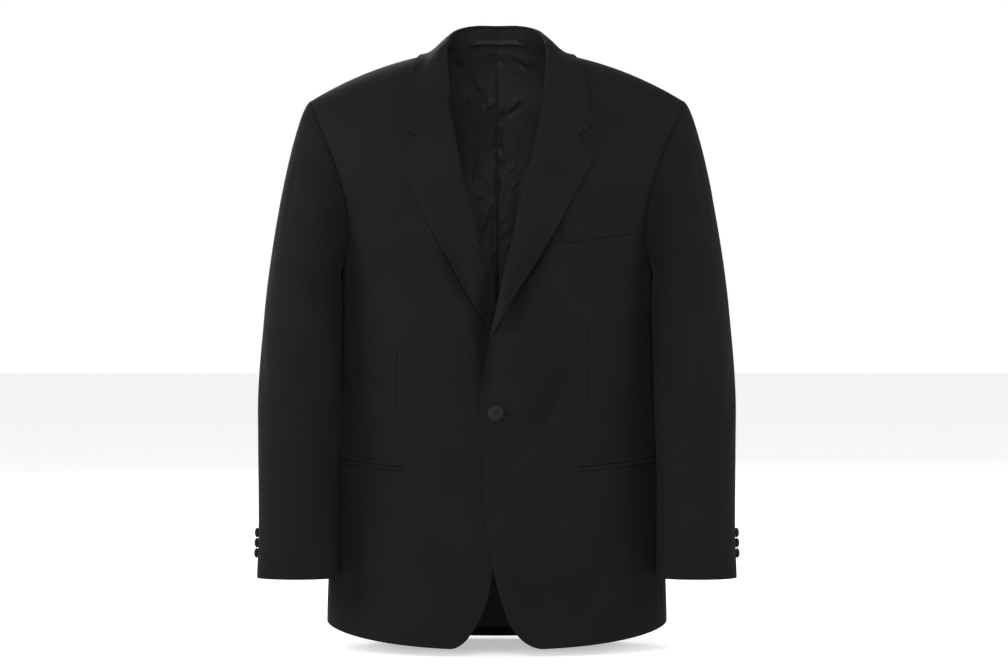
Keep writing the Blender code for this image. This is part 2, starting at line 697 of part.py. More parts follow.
def fold_path(leaf, end_off, belly, sag=0.0):
    """(along, off) places over a folded edge and down its leaf, for leaves of given lengths."""
    places = [(FOLD_TUCK + 0 * leaf, FOLD_RISE - FOLD_RADIUS + 0 * leaf)]
    for angle in FOLD_STEPS:
        turned = math.radians(angle)
        along, off = FOLD_RADIUS * math.cos(turned), FOLD_RADIUS * math.sin(turned)
        places.append((along + 0 * leaf, FOLD_RISE + off + 0 * leaf))
    top = FOLD_RISE + FOLD_RADIUS
    for share in LEAF_SHARES:
        bulge = belly * math.sin(math.pi * share**BELLY_POWER) * np.clip(leaf / BELLY_LEAF, 0, 1)
        dip = sag * math.sin(math.pi * share**SAG_POWER)
        places.append((leaf * share, spaced(top, end_off, share) + bulge - dip))
    return places


def gorge_height(across, tip):
    """Height of the seam of lapel and collar: a line to the notch, and on from it to a tip."""
    start = EDGE_OVER[-3].across
    slope = (NOTCH[1] - GORGE_TOP) / (NOTCH[0] - start)
    beyond = (tip[1] - NOTCH[1]) / (tip[0] - NOTCH[0])
    past = np.maximum(across - NOTCH[0], 0)
    return GORGE_TOP + slope * (across - start) + (beyond - slope) * past


def lapel_grid(over):
    rows = EDGE_OVER if over else EDGE_UNDER
    edge = LAPEL_EDGE_OVER if over else LAPEL_EDGE_UNDER
    shares = np.linspace(0, 1, LAPEL_ROWS + 1)
    inner_height = spaced(edge[0].height, GORGE_TOP, shares)
    outer_height = spaced(edge[0].height, edge[-1].height, shares)
    inner = column(rows, "across", "height", inner_height) + FOLD_RADIUS
    outer = column(edge, "across", "height", outer_height)
    length = np.hypot(outer - inner, outer_height - inner_height)
    tip = (edge[-1].across, edge[-1].height)
    grid = []
    for along, off in fold_path(length, FOLD_RISE + FOLD_RADIUS, LAPEL_BELLY):
        share = along / length
        x, z = spaced(inner, outer, share), spaced(inner_height, outer_height, share)
        notched = gorge_height(x[-1], tip) - z[-1]
        grid.append(on_front(x, z + notched * step_up(shares, NOTCH_ROWS), over, off))
    grid = np.stack(grid, axis=1)
    return pulled_in(wall(grid, grid_normal(grid)), ("top",))


def collar_rows(shares):
    """Crest points, foot points and the frame of the collar at shares from -1 to 1."""
    whole = [r._replace(share=r.share - 1) for r in COLLAR]
    whole += [r._replace(share=1 - r.share, crest_x=-r.crest_x, foot_x=-r.foot_x) for r in COLLAR[-2::-1]]
    keys = [r.share for r in whole]
    crest = np.stack([smooth(keys, [getattr(r, f"crest_{k}") for r in whole], shares) for k in "xyz"], -1)
    feet = []
    for r in whole:
        y = depth_at(r.foot_x, r.foot_z, r.behind)
        normal = form_normal(angle_at(abs(r.foot_x), r.foot_z, r.behind), r.foot_z)
        normal = normal * [math.copysign(1, r.foot_x), 1, 1]
        feet.append(np.array([r.foot_x, y, r.foot_z]) + normal * COLLAR_REST)
    foot = np.stack([smooth(keys, np.array(feet)[:, k], shares) for k in range(3)], -1)
    tangent = np.gradient(crest, axis=0)
    tangent /= np.linalg.norm(tangent, axis=1, keepdims=True)
    down = foot - crest
    down -= tangent * (down * tangent).sum(1, keepdims=True)
    down /= np.linalg.norm(down, axis=1, keepdims=True)
    out = np.cross(down, tangent)
    return crest, foot, down, out


def resting(points, off):
    """Points brought in front of, or behind, the fronts and back that they lie on."""
    x, y, z = (points[..., k] for k in range(3))
    below = ridge_height(x) - z > 0
    front, back = depth_at(x, z, False) - off, depth_at(x, z, True) + off
    middle = spaced(*SEAM_FORWARD, shoulder_share(x))
    nearest = np.where(y < middle, np.minimum(y, front), np.maximum(y, back))
    return np.stack([x, np.where(below, nearest, y), z], -1)


def collar_fall_grid():
    shares = np.linspace(-1, 1, 2 * COLLAR_ROWS + 1)
    crest, foot, down, out = collar_rows(shares)
    centre = crest + down * FOLD_RADIUS
    leaf = np.linalg.norm(foot - centre, axis=1)
    to_foot = (foot - centre) / leaf[:, None]
    round_share = 1 - np.abs(shares)
    near_end = 1 - step_up(round_share, (0, NOTCH_REACH))
    flat_end = 1 - step_up(round_share, (0, FLAT_REACH))
    belly = LAPEL_BELLY * (1 - step_up(round_share, BELLY_SHARES))
    sag = COLLAR_SAG * step_up(round_share, SAG_STARTS) * (1 - step_up(round_share, SAG_ENDS))
    grid = []
    for along, off in fold_path(leaf, FOLD_RISE + FOLD_RADIUS, belly, sag):
        way = np.where((along > FOLD_TUCK)[:, None], to_foot, down)
        rest = COLLAR_REST * np.clip(along / leaf, 0, 1)
        point = centre + way * along[:, None] + out * (off - rest)[:, None]
        notched = gorge_height(abs(point[-1, 0]), COLLAR_TIP) - point[-1, 2]
        point[:, 2] += notched * near_end
        if off[0] > 0:
            point = resting(point, off[0])
        across = np.abs(point[:, 0])
        height = np.minimum(point[:, 2], ridge_height(across) - SEAM_GAP)
        laid = on_front(across, height, False, off)
        laid[:, 0] *= np.sign(point[:, 0])
        grid.append(point + (laid - point) * flat_end[:, None])
    grid = np.stack(grid, axis=1)[:, ::-1]
    return pulled_in(wall(grid, grid_normal(grid)), ("bottom", "top"))


def neck_seam(shares):
    """Points of the neckline under the collar, from the right gorge round to the left."""
    line = []
    for place in NECK_SEAM:
        forward = float(depth_at(place.across, place.height, place.behind))
        line.append([place.share, place.across, forward, place.height])
    keys, *places = np.array(line).T
    half = np.stack([smooth(keys, values, 1 - np.abs(shares)) for values in places], -1)
    half[:, 0] *= -np.sign(shares)
    return half


def stand_grid():
    """The band from the neckline up to the fold, its face towards the neck."""
    shares = np.linspace(STAND_START - 1, 1 - STAND_START, 2 * STAND_ROWS + 1)
    crest, _, down, out = collar_rows(shares)
    top = crest + down * (FOLD_RADIUS + FOLD_TUCK + SEAM_GAP) + out * (FOLD_RISE - FOLD_RADIUS)
    foot = neck_seam(shares) - out * STAND_FOOT_IN + [0, 0, STAND_FOOT_UP]
    grid = np.stack([foot + (top - foot) * t for t in np.linspace(0, 1, STAND_LEVELS + 1)], axis=1)
    return wall(grid, grid_normal(grid))


# Trims


def strip_grid(over, start, end, foot, height, columns=TRIM_COLUMNS):
    """A band on a front: its lower edge runs between two heights, and its ends are upright."""
    across = np.linspace(start, end, columns + 1)
    low = np.linspace(*foot, columns + 1)
    off = SEAM_GAP + TRIM_WALL
    grid = np.stack([on_front(across, low + rise, over, off) for rise in (0, height / 2, height)])
    return wall(grid, form_normal(angle_at(across, low), low), TRIM_WALL)


def jet_grid(start, upper):
    """One jet of a hip pocket, measured along the cloth from its front end round the side."""
    angles = np.arange(float(angle_at(start, JET_SPLIT)), JET_LAST_ANGLE, MEASURING_STEP)
    line = form_point(angles, np.full(len(angles), JET_SPLIT))
    length = np.concatenate([[0], np.cumsum(np.linalg.norm(np.diff(line, axis=0), axis=1))])
    along = np.linspace(0, JET_LENGTH, TRIM_COLUMNS + 1)
    turned = np.interp(along, length, angles)
    mouth = JET_SPLIT + JET_RISE * along
    low = mouth + SEAM_GAP / 2 if upper else mouth - SEAM_GAP / 2 - JET_HEIGHT
    grid = np.stack([form_point(turned, low + rise) for rise in (0, JET_HEIGHT / 2, JET_HEIGHT)])
    normal = form_normal(turned, low)
    return wall(grid + normal * (SEAM_GAP + TRIM_WALL), normal, TRIM_WALL)


def loop_grid():
    """The hanger loop, on the neck side of the stand."""
    across = np.linspace(-LOOP_LENGTH / 2, LOOP_LENGTH / 2, TRIM_COLUMNS + 1)
    face = stand_grid()[0]
    rows = []
    for height in (LOOP_MIDDLE - LOOP_HEIGHT / 2, LOOP_MIDDLE + LOOP_HEIGHT / 2):
        line = [[np.interp(height, row[:, 2], row[:, k]) for k in range(2)] for row in face]
        line = np.array(sorted(p for p in line if abs(p[0]) < LOOP_LENGTH))
        forward = np.interp(across, *line.T) - LOOP_GAP - LOOP_WALL
        rows.append(np.stack([across, forward, height + 0 * across], -1))
    grid = np.stack(rows)
    return wall(grid, grid_normal(grid), LOOP_WALL)


# The blazer


def build_side(side, cloth, satin, black):
    """All the pieces of the wearer's left, side 1, or right, side -1."""
    word = "left" if side > 0 else "right"
    over = side > 0
    sheet(f"front_{word}", mirrored(front_grid(over), side), cloth)
    sheet(f"side_panel_{word}", mirrored(side_grid(), side), cloth)
    sheet(f"back_{word}", mirrored(back_grid(), side), cloth)
    sheet(f"lining_back_{word}", mirrored(lining_grid(), side), satin)
    sheet(f"lapel_{word}", mirrored(lapel_grid(over), side), cloth)
    sheet(f"top_sleeve_{word}", mirrored(sleeve_grid(True), side), cloth)
    sheet(f"under_sleeve_{word}", mirrored(sleeve_grid(False), side), cloth)
    start = JET_START_LEFT if over else JET_START_RIGHT
    sheet(f"pocket_jet_upper_{word}", mirrored(jet_grid(start, True), side), cloth)
    sheet(f"pocket_jet_lower_{word}", mirrored(jet_grid(start, False), side), cloth)
    flip = np.array([side, 1, 1])
    for number, height in enumerate(SLEEVE_BUTTON_HEIGHTS, 1):
        before, centre, after = (
            ring_point(float(SLEEVE_BUTTON_TURN + step), height) for step in (-1, 0, 1)
        )
        along = after - before
        outward = np.array([-along[1], along[0], 0])
        name = f"sleeve_button_{word}_{number}"
        button(name, SLEEVE_BUTTON, black, centre * flip, outward * flip)


def build():
    cloth = material("Black wool", BLACK, 0.85)
    satin = material("Black satin lining", SATIN, 0.45)
    black = material("Covered button", BUTTON_BLACK, 0.6)
    for side in (1, -1):
        build_side(side, cloth, satin, black)
    sheet("collar_fall", collar_fall_grid(), cloth)
    sheet("collar_stand", stand_grid(), cloth)
    sheet("hanger_loop", loop_grid(), cloth)
    sheet("chest_welt", strip_grid(True, *WELT_ACROSS, WELT_FOOT, WELT_HEIGHT), cloth)
    across, height = (np.array(v) for v in FRONT_BUTTON_AT)
    centre, outward = on_front(across, height, True), form_normal(angle_at(across, height), height)
    button("front_button", FRONT_BUTTON, black, centre, outward)


for leftover in list(bpy.data.objects):
    bpy.data.objects.remove(leftover, do_unlink=True)
build()
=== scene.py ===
"""Looks of a one-button blazer with notch lapels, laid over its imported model.

Metres, +Z up, +X the wearer's left, -Y the front.  The origin is the middle of the neck
opening, level with the neck ends of the shoulder seams.  Every panel is a thin shell cut
from one torso form, so it lies on its solid.  A place on the form is (angle, height), with
angle 0 at the front centre, 90 at the side and 180 at the back centre.  Each piece is
worked out on the wearer's left and mirrored for the right, with creases of its own.
"""

import logging
import math
from collections.abc import Callable, Sequence
from dataclasses import dataclass, field
from enum import Enum

import bpy
import numpy as np
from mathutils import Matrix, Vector


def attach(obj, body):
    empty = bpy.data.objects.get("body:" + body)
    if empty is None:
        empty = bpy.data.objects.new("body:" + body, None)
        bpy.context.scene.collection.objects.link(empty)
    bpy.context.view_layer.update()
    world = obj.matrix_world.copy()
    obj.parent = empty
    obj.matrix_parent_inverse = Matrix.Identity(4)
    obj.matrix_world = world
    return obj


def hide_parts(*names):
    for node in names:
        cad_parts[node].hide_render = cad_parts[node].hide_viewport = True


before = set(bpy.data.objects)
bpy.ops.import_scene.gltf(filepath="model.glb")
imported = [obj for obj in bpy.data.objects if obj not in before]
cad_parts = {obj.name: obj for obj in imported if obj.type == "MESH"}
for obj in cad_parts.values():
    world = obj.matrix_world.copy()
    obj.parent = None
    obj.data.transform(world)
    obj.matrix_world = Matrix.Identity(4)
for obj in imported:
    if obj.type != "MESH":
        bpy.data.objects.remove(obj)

LOG = logging.getLogger("blazer")
TENTHS = 10000

Array = np.ndarray
Line = Callable[[Array], Array]
Surface = Callable[[Array, Array], Array]
Pair = tuple[float, float]
Triple = tuple[float, float, float]
Stitch = tuple[float, float, float, float]
Piece = bpy.types.Object
Node = bpy.types.Node
Socket = bpy.types.NodeSocket
Tree = bpy.types.NodeTree


class Side(Enum):
    """The wearer's left or right, as the sign of X."""

    LEFT = 1
    RIGHT = -1

    @property
    def word(self) -> str:
        """The side's name as it stands in the pieces' names."""
        return self.name.lower()

    @property
    def flip(self) -> Array:
        """What a point of the wearer's left is multiplied by to lie on this side."""
        return np.array([self.value, 1.0, 1.0])


class Edge(Enum):
    """How an edge of a panel ends, as the distances of its grid lines from it."""

    SEAM = (0.0, 0.0004, 0.0009, 0.0018)
    FOLDED = (0.0, 0.00012, 0.0004, 0.0008, 0.0013)
    HIDDEN = (0.0, 0.002)
    ROLL = (0.0, 0.0008, 0.0017, 0.0027, 0.0036, 0.0046, 0.0055, 0.0065, 0.0074, 0.0083)


class Face(Enum):
    """The part of the torso that a crease lies on."""

    FRONT = "front"
    SIDE = "side"
    BACK = "back"


# Curves


def smooth(knots: Array, values: Array, at: Array) -> Array:
    """Read a smooth curve: cubic pieces with averaged slopes.

    Args:
        knots: growing places of the values.
        values: the values there.
        at: where the curve is read.

    Returns:
        The curve's values at those places.
    """
    at = np.asarray(at, float)
    steps = np.diff(values) / np.diff(knots)
    slopes = np.concatenate([steps[:1], (steps[1:] + steps[:-1]) / 2, steps[-1:]])
    piece = np.clip(np.searchsorted(knots, at) - 1, 0, len(knots) - 2)
    width = knots[piece + 1] - knots[piece]
    t = np.clip((at - knots[piece]) / width, 0, 1)
    start = (1 + 2 * t) * (1 - t) ** 2 * values[piece] + t * (1 - t) ** 2 * width * slopes[piece]
    end = t**2 * (3 - 2 * t) * values[piece + 1] - t**2 * (1 - t) * width * slopes[piece + 1]
    return start + end


def part_way(value: Array, start: float, end: float) -> Array:
    """Rise evenly from 0 at start to 1 at end."""
    return np.clip((value - start) / (end - start), 0, 1)


def step_up(value: Array, start: float, end: float) -> Array:
    """Rise softly from 0 at start to 1 at end."""
    t = part_way(value, start, end)
    return t * t * (3 - 2 * t)


def mix(start: Array, end: Array, share: Array) -> Array:
    """Go from start to end by a share."""
    return start + (end - start) * share


def joined(*parts: Array) -> Array:
    """Places or points from their coordinates."""
    return np.stack(parts, -1)


def unit(vectors: Array) -> Array:
    """Vectors brought to length 1."""
    return vectors / np.linalg.norm(vectors, axis=-1, keepdims=True)


def arcs(points: Array, axis: int) -> Array:
    """Length along a grid's lines from their first points.

    Args:
        points: a grid of points.
        axis: 0 up its columns, 1 along its rows.

    Returns:
        The length at each point.
    """
    step = np.linalg.norm(np.diff(points, axis=axis), axis=-1)
    start = np.zeros_like(np.take(step, [0], axis=axis))
    return np.concatenate([start, np.cumsum(step, axis=axis)], axis=axis)


@dataclass(frozen=True)
class Table:
    """Rows of numbers under named columns, read as smooth curves over the first one."""

    names: str
    rows: tuple[tuple[float, ...], ...]

    def column(self, name: str) -> Array:
        """The numbers under one name."""
        return np.array(self.rows, float)[:, self.names.split().index(name)]

    def read(self, name: str, at: Array) -> Array:
        """The smooth curve of one column, at places of the first one."""
        return smooth(self.column(self.names.split()[0]), self.column(name), at)


def lengths(names: str, *rows: tuple[float, ...]) -> Table:
    """A table of lengths, from rows in tenths of a millimetre."""
    return Table(names, tuple(tuple(value / TENTHS for value in row) for row in rows))


@dataclass(frozen=True)
class Crease:
    """A soft ridge along a line on a surface, or a trough where its height is under 0."""

    start: Pair
    end: Pair
    width: float
    height: float
    bend: float = 0.0
    peak: float = 0.5

    def rise(self, across: Array, up: Array) -> Array:
        """Height of the crease over its surface.

        Args:
            across: first coordinate on the surface.
            up: second coordinate.

        Returns:
            How far the surface moves out there.
        """
        way = np.subtract(self.end, self.start)
        length = math.hypot(*way)
        way = way / length
        right, rise = across - self.start[0], up - self.start[1]
        t = np.clip((right * way[0] + rise * way[1]) / length, 0, 1)
        off = rise * way[0] - right * way[1] - self.bend * 4 * t * (1 - t)
        taper = np.sin(math.pi * t ** (math.log(0.5) / math.log(self.peak))) ** 1.3
        return self.height * taper * np.exp(-((off / self.width) ** 2))


def creases(*rows: tuple[float, ...]) -> tuple[Crease, ...]:
    """Creases from rows: their ends, width, height and bend in tenths of a millimetre, and peak."""
    made = []
    for *sizes, peak in rows:
        x, z, end_x, end_z, width, height, bend = (size / TENTHS for size in sizes)
        made.append(Crease((x, z), (end_x, end_z), width, height, bend, peak))
    return tuple(made)


# The torso form


TORSO_CREASES: dict[Face, tuple[Crease, ...]] = {
    Face.FRONT: creases(
        (-100, -2850, -140, -4750, 125, -220, 0, 0.45), (520, -2550, 0, -4100, 110, -110, -40, 0.62),
        (800, -2050, 120, -3520, 130, -115, 0, 0.6), (-760, -2250, -200, -3450, 120, -95, 0, 0.6),
        (980, -3850, 100, -5400, 100, -70, 40, 0.45), (700, -3800, 40, -5120, 120, 14, 40, 0.5),
        (1180, -4000, 400, -5450, 150, 12, 60, 0.5), (-800, -4100, -140, -4700, 110, -10, -40, 0.6),
        (-900, -5200, -200, -4800, 120, -9, 30, 0.6), (600, -5600, 300, -7000, 160, -12, 40, 0.4),
        (-600, -5400, -750, -6900, 200, -12, 30, 0.5), (1600, -2600, 1200, -4000, 200, -16, 40, 0.4),
        (-1650, -2600, -1300, -3900, 220, -14, -40, 0.4), (1750, -1600, 1500, -2600, 120, -14, 30, 0.4),
        (-1750, -1500, -1550, -2500, 120, -12, -30, 0.4),
    ),
    Face.SIDE: creases(
        (-300, -3300, -500, -5600, 200, -20, 40, 0.4), (300, -3400, 450, -5200, 180, -16, -40, 0.4),
        (-600, -3950, 500, -4200, 130, -14, 40, 0.5),
    ),
    Face.BACK: creases(
        (180, -3600, 1350, -4050, 110, -18, 60, 0.55), (-200, -3750, -1400, -3950, 120, -16, -60, 0.5),
        (300, -4100, 1200, -4450, 100, -12, 40, 0.45), (-400, -4250, -1250, -4300, 110, -13, -30, 0.5),
        (1500, -1700, 1050, -3300, 170, -22, 60, 0.35), (-1520, -1650, -1080, -3400, 180, -20, -60, 0.35),
        (1200, -1500, 800, -3000, 210, 14, 40, 0.4), (-1180, -1500, -850, -3100, 220, 13, -40, 0.4),
        (700, -4800, 850, -7000, 240, -20, 40, 0.5), (-750, -5000, -800, -7100, 260, -18, -40, 0.45),
        (200, -600, 1300, -800, 140, -10, 40, 0.5),
    ),
}


@dataclass(frozen=True)
class TorsoForm:
    """The form that all body panels are cut from, on the wearer's left."""

    sections: Table = lengths(
        "height half_width front back",
        (-7750, 2210, 1300, 1240), (-7000, 2195, 1300, 1220), (-6000, 2150, 1280, 1160),
        (-5000, 2100, 1240, 1060), (-4500, 2080, 1210, 1020), (-4000, 2070, 1210, 1030),
        (-3300, 2050, 1240, 1100), (-2900, 2020, 1250, 1140), (-2500, 2030, 1250, 1170),
        (-2000, 2130, 1220, 1180), (-1400, 2310, 1180, 1140), (-1000, 2450, 1140, 1080),
        (-500, 2530, 1100, 1000), (450, 2580, 1000, 950),
    )
    squareness: float = 2.3
    neck_point: Pair = (0.072, 0.0)
    shoulder_point: Pair = (0.242, -0.063)
    seam_forward: Pair = (0.012, 0.004)
    shoulder_bow: float = 0.0095
    ridge_ease: float = 1.0
    rounding_front: Pair = (0.2, 0.12)
    rounding_back: Pair = (0.165, 0.11)
    hem_side: float = -0.738
    hem_front_drop: float = 0.0262
    hem_back_drop: float = 0.0325
    hem_power: float = 1.4
    overlap_lift: float = 0.0027
    overlap_across: Pair = (0.022, 0.062)
    overlap_up: Pair = (-0.33, -0.2)
    stand_off: float = 0.009
    stand_off_rise: Pair = (-0.435, -0.372)
    stand_off_fall: Pair = (-0.335, -0.265)
    stand_off_across: Pair = (-0.01, 0.055)
    side_share: Pair = (0.8, 0.96)
    crease_top: float = 0.05
    armhole_table: Table = Table(
        "turn angle height",
        (
            (0, 73.6, -0.063), (15, 71.4, -0.073), (30, 67.2, -0.095), (45, 65.2, -0.118),
            (75, 63.2, -0.166), (105, 64.5, -0.213), (135, 69.5, -0.258), (150, 75.0, -0.276),
            (165, 82.0, -0.287), (180, 90.0, -0.29), (200, 99.0, -0.285), (225, 108.5, -0.264),
            (250, 114.5, -0.228), (275, 116.8, -0.186), (300, 116.4, -0.145), (322, 114.4, -0.108),
            (345, 108.8, -0.073), (360, 106.4, -0.063),
        ),
    )

    def shoulder_share(self, across: Array) -> Array:
        """Share of the way out along the shoulder, over 0 and under 1."""
        inner, outer = self.neck_point[0], self.shoulder_point[0]
        return part_way(np.abs(across), inner, outer)

    def ridge(self, across: Array) -> Array:
        """Height of the shoulder ridge at a distance from the middle."""
        inner, outer = self.neck_point[0], self.shoulder_point[0]
        share = (np.abs(across) - inner) / (outer - inner)
        bow = self.shoulder_bow * 4 * share * (1 - share) * (share > 0)
        return mix(self.neck_point[1], self.shoulder_point[1], share) + bow

    def under_ridge(self, across: Array, height: Array, share: Array) -> Array:
        """Heights kept under the shoulder ridge, less and less far towards share 1."""
        return np.minimum(height, self.ridge(across) - self.ridge_ease * np.clip(1 - share, 0, 0.1) ** 2)

    def rounding(self, share: Array, behind: Array) -> Array:
        """Height of the roll over the shoulder, in front or behind."""
        return np.where(behind, mix(*self.rounding_back, share), mix(*self.rounding_front, share))

    def depth(self, across: Array, height: Array, behind: Array) -> Array:
        """The form's Y.

        Args:
            across: distance from the middle.
            height: Z.
            behind: whether the back is meant, not the front.

        Returns:
            The Y of the form there.
        """
        width = self.sections.read("half_width", height)
        front, back = self.sections.read("front", height), self.sections.read("back", height)
        inside = 1 - np.clip(np.abs(across) / width, 0, 1) ** self.squareness
        full = np.where(behind, back, -front) * inside ** (1 / self.squareness)
        share = self.shoulder_share(across)
        below = np.clip((self.ridge(across) - height) / self.rounding(share, behind), 0, 1)
        seam = mix(*self.seam_forward, share)
        return seam + (full - seam) * np.sqrt(1 - (1 - below) ** 2)

    def across(self, angle: Array, height: Array) -> Array:
        """Distance from the middle at an angle round the form."""
        turned = np.sin(np.radians(angle))
        width = self.sections.read("half_width", height)
        return np.sign(turned) * width * np.abs(turned) ** (2 / self.squareness)

    def angle(self, across: Array, height: Array, behind: bool = False) -> Array:
        """Angle round the form at a distance from the middle."""
        width = self.sections.read("half_width", height)
        share = np.clip(np.abs(across) / width, 0, 1) ** (self.squareness / 2)
        angle = np.sign(across) * np.degrees(np.arcsin(share))
        return 180 - angle if behind else angle

    def place(self, across: Array, height: Array, behind: bool = False) -> Array:
        """(angle, height) at a distance from the middle."""
        return joined(self.angle(across, height, behind), height)

    def point(self, angle: Array, height: Array) -> Array:
        """Points of the form at angles and heights."""
        across = self.across(angle, height)
        behind = np.cos(np.radians(angle)) < 0
        return joined(across, self.depth(across, height, behind), height + 0 * across)

    def rolled(self, across: Array, roll: Array, behind: Array) -> Array:
        """Points by roll: under 0 over the shoulder, over 0 straight down."""
        reach = self.rounding(self.shoulder_share(across), behind)
        height = self.ridge(across) - reach * (1 + np.where(roll < 0, np.sin(roll), roll))
        return joined(across, self.depth(across, height, behind), height)

    def normal(self, angle: Array, height: Array, step: float = 0.02) -> Array:
        """Outward directions of the form.

        Args:
            angle: angles round it.
            height: heights.
            step: how far away, in degrees and in roll, the points are that give them.

        Returns:
            Unit vectors.
        """
        across = self.across(angle, height)
        behind = np.cos(np.radians(angle)) < 0
        reach = self.rounding(self.shoulder_share(across), behind)
        below = (self.ridge(across) - height) / reach - 1
        roll = np.where(below < 0, np.arcsin(np.clip(below, -1, 0)), below)
        beside = []
        for turned in (angle + step, angle - step):
            there = np.cos(np.radians(turned)) < 0
            beside.append(self.rolled(self.across(turned, height), roll, there))
        above = self.rolled(across, np.maximum(roll, step - math.pi / 2) - step, behind)
        under = self.rolled(across, roll + step, behind)
        return unit(np.cross(beside[0] - beside[1], above - under))

    def hem(self, angle: Array) -> Array:
        """Height of the hem at an angle."""
        facing = np.cos(np.radians(angle))
        drop = np.where(facing > 0, self.hem_front_drop, self.hem_back_drop)
        return self.hem_side - drop * np.abs(facing) ** self.hem_power

    def armhole(self, turn: Array) -> Array:
        """(angle, height) of the armhole: turn 0 at its top, 90 in front, 180 under the arm."""
        return np.stack([self.armhole_table.read(name, turn) for name in ("angle", "height")], -1)

    def relief(self, points: Array, side: Side) -> Array:
        """How far the creases move the cloth out.

        Args:
            points: points on the form, on the wearer's left.
            side: the side that they are meant for.

        Returns:
            A distance for each point.
        """
        x, y, z = np.moveaxis(points, -1, 0)
        width = self.sections.read("half_width", z)
        beside = step_up(np.abs(x) / width, *self.side_share)
        total = np.zeros_like(x)
        for face, creases in TORSO_CREASES.items():
            if face is Face.SIDE:
                share, first = beside, y
            else:
                ahead = (y < 0) if face is Face.FRONT else (y >= 0)
                share, first = ahead * (1 - beside), x * side.value
            total += share * sum(crease.rise(first, z) for crease in creases)
        return total * step_up(-z, 0.0, self.crease_top)

    def dressed(self, angle: Array, height: Array, side: Side) -> Array:
        """Points of the form with its creases."""
        points = self.point(angle, height)
        return points + self.normal(angle, height) * self.relief(points, side)[..., None]

    def on_front(self, across: Array, height: Array, side: Side, off: Array = 0.0) -> Array:
        """Points on a front, out by its overlap, its creases and a distance.

        Args:
            across: distance from the middle, under 0 past it.
            height: Z.
            side: the left front lies over the right one.
            off: the further distance out.

        Returns:
            Points, as for the wearer's left.
        """
        flat = joined(across, self.depth(across, height, False), height + 0 * across)
        near = 1 - step_up(across, *self.overlap_across)
        low = 1 - step_up(height, *self.overlap_up)
        proud = step_up(height, *self.stand_off_rise) * (1 - step_up(height, *self.stand_off_fall))
        proud = proud * (1 - step_up(across, *self.stand_off_across))
        lift = (self.overlap_lift * near * low + self.stand_off * proud) * (side is Side.LEFT)
        out = lift + self.relief(flat, side) + off
        return flat + self.normal(self.angle(across, height), height) * out[..., None]


FORM = TorsoForm()


# Shells


@dataclass(frozen=True)
class Finish:
    """Base of the finishes: each builds its own material once."""

    def material(self) -> bpy.types.Material:
        """The finished material."""
        name = getattr(self, "name")
        return bpy.data.materials.get(name) or self.build()

    def build(self) -> bpy.types.Material:
        """Make the material; each finish does this in its own way."""
        raise NotImplementedError


def coons(left: Line, right: Line, bottom: Line, top: Line) -> Surface:
    """Fill the space between four edges.

    Args:
        left: first edge, as places over shares upwards.
        right: last edge.
        bottom: lower edge, as places over shares along.
        top: upper edge.

    Returns:
        Places over shares along and upwards.
    """
    low, high = np.array(0.0), np.array(1.0)

    def fill(u: Array, v: Array) -> Array:
        """Blend the four edges."""
        a, b = u[..., None], v[..., None]
        sides = (1 - a) * left(v) + a * right(v)
        ends = (1 - b) * bottom(u) + b * top(u)
        below = (1 - a) * bottom(low) + a * bottom(high)
        above = (1 - a) * top(low) + a * top(high)
        return sides + ends - (1 - b) * below - b * above

    return fill


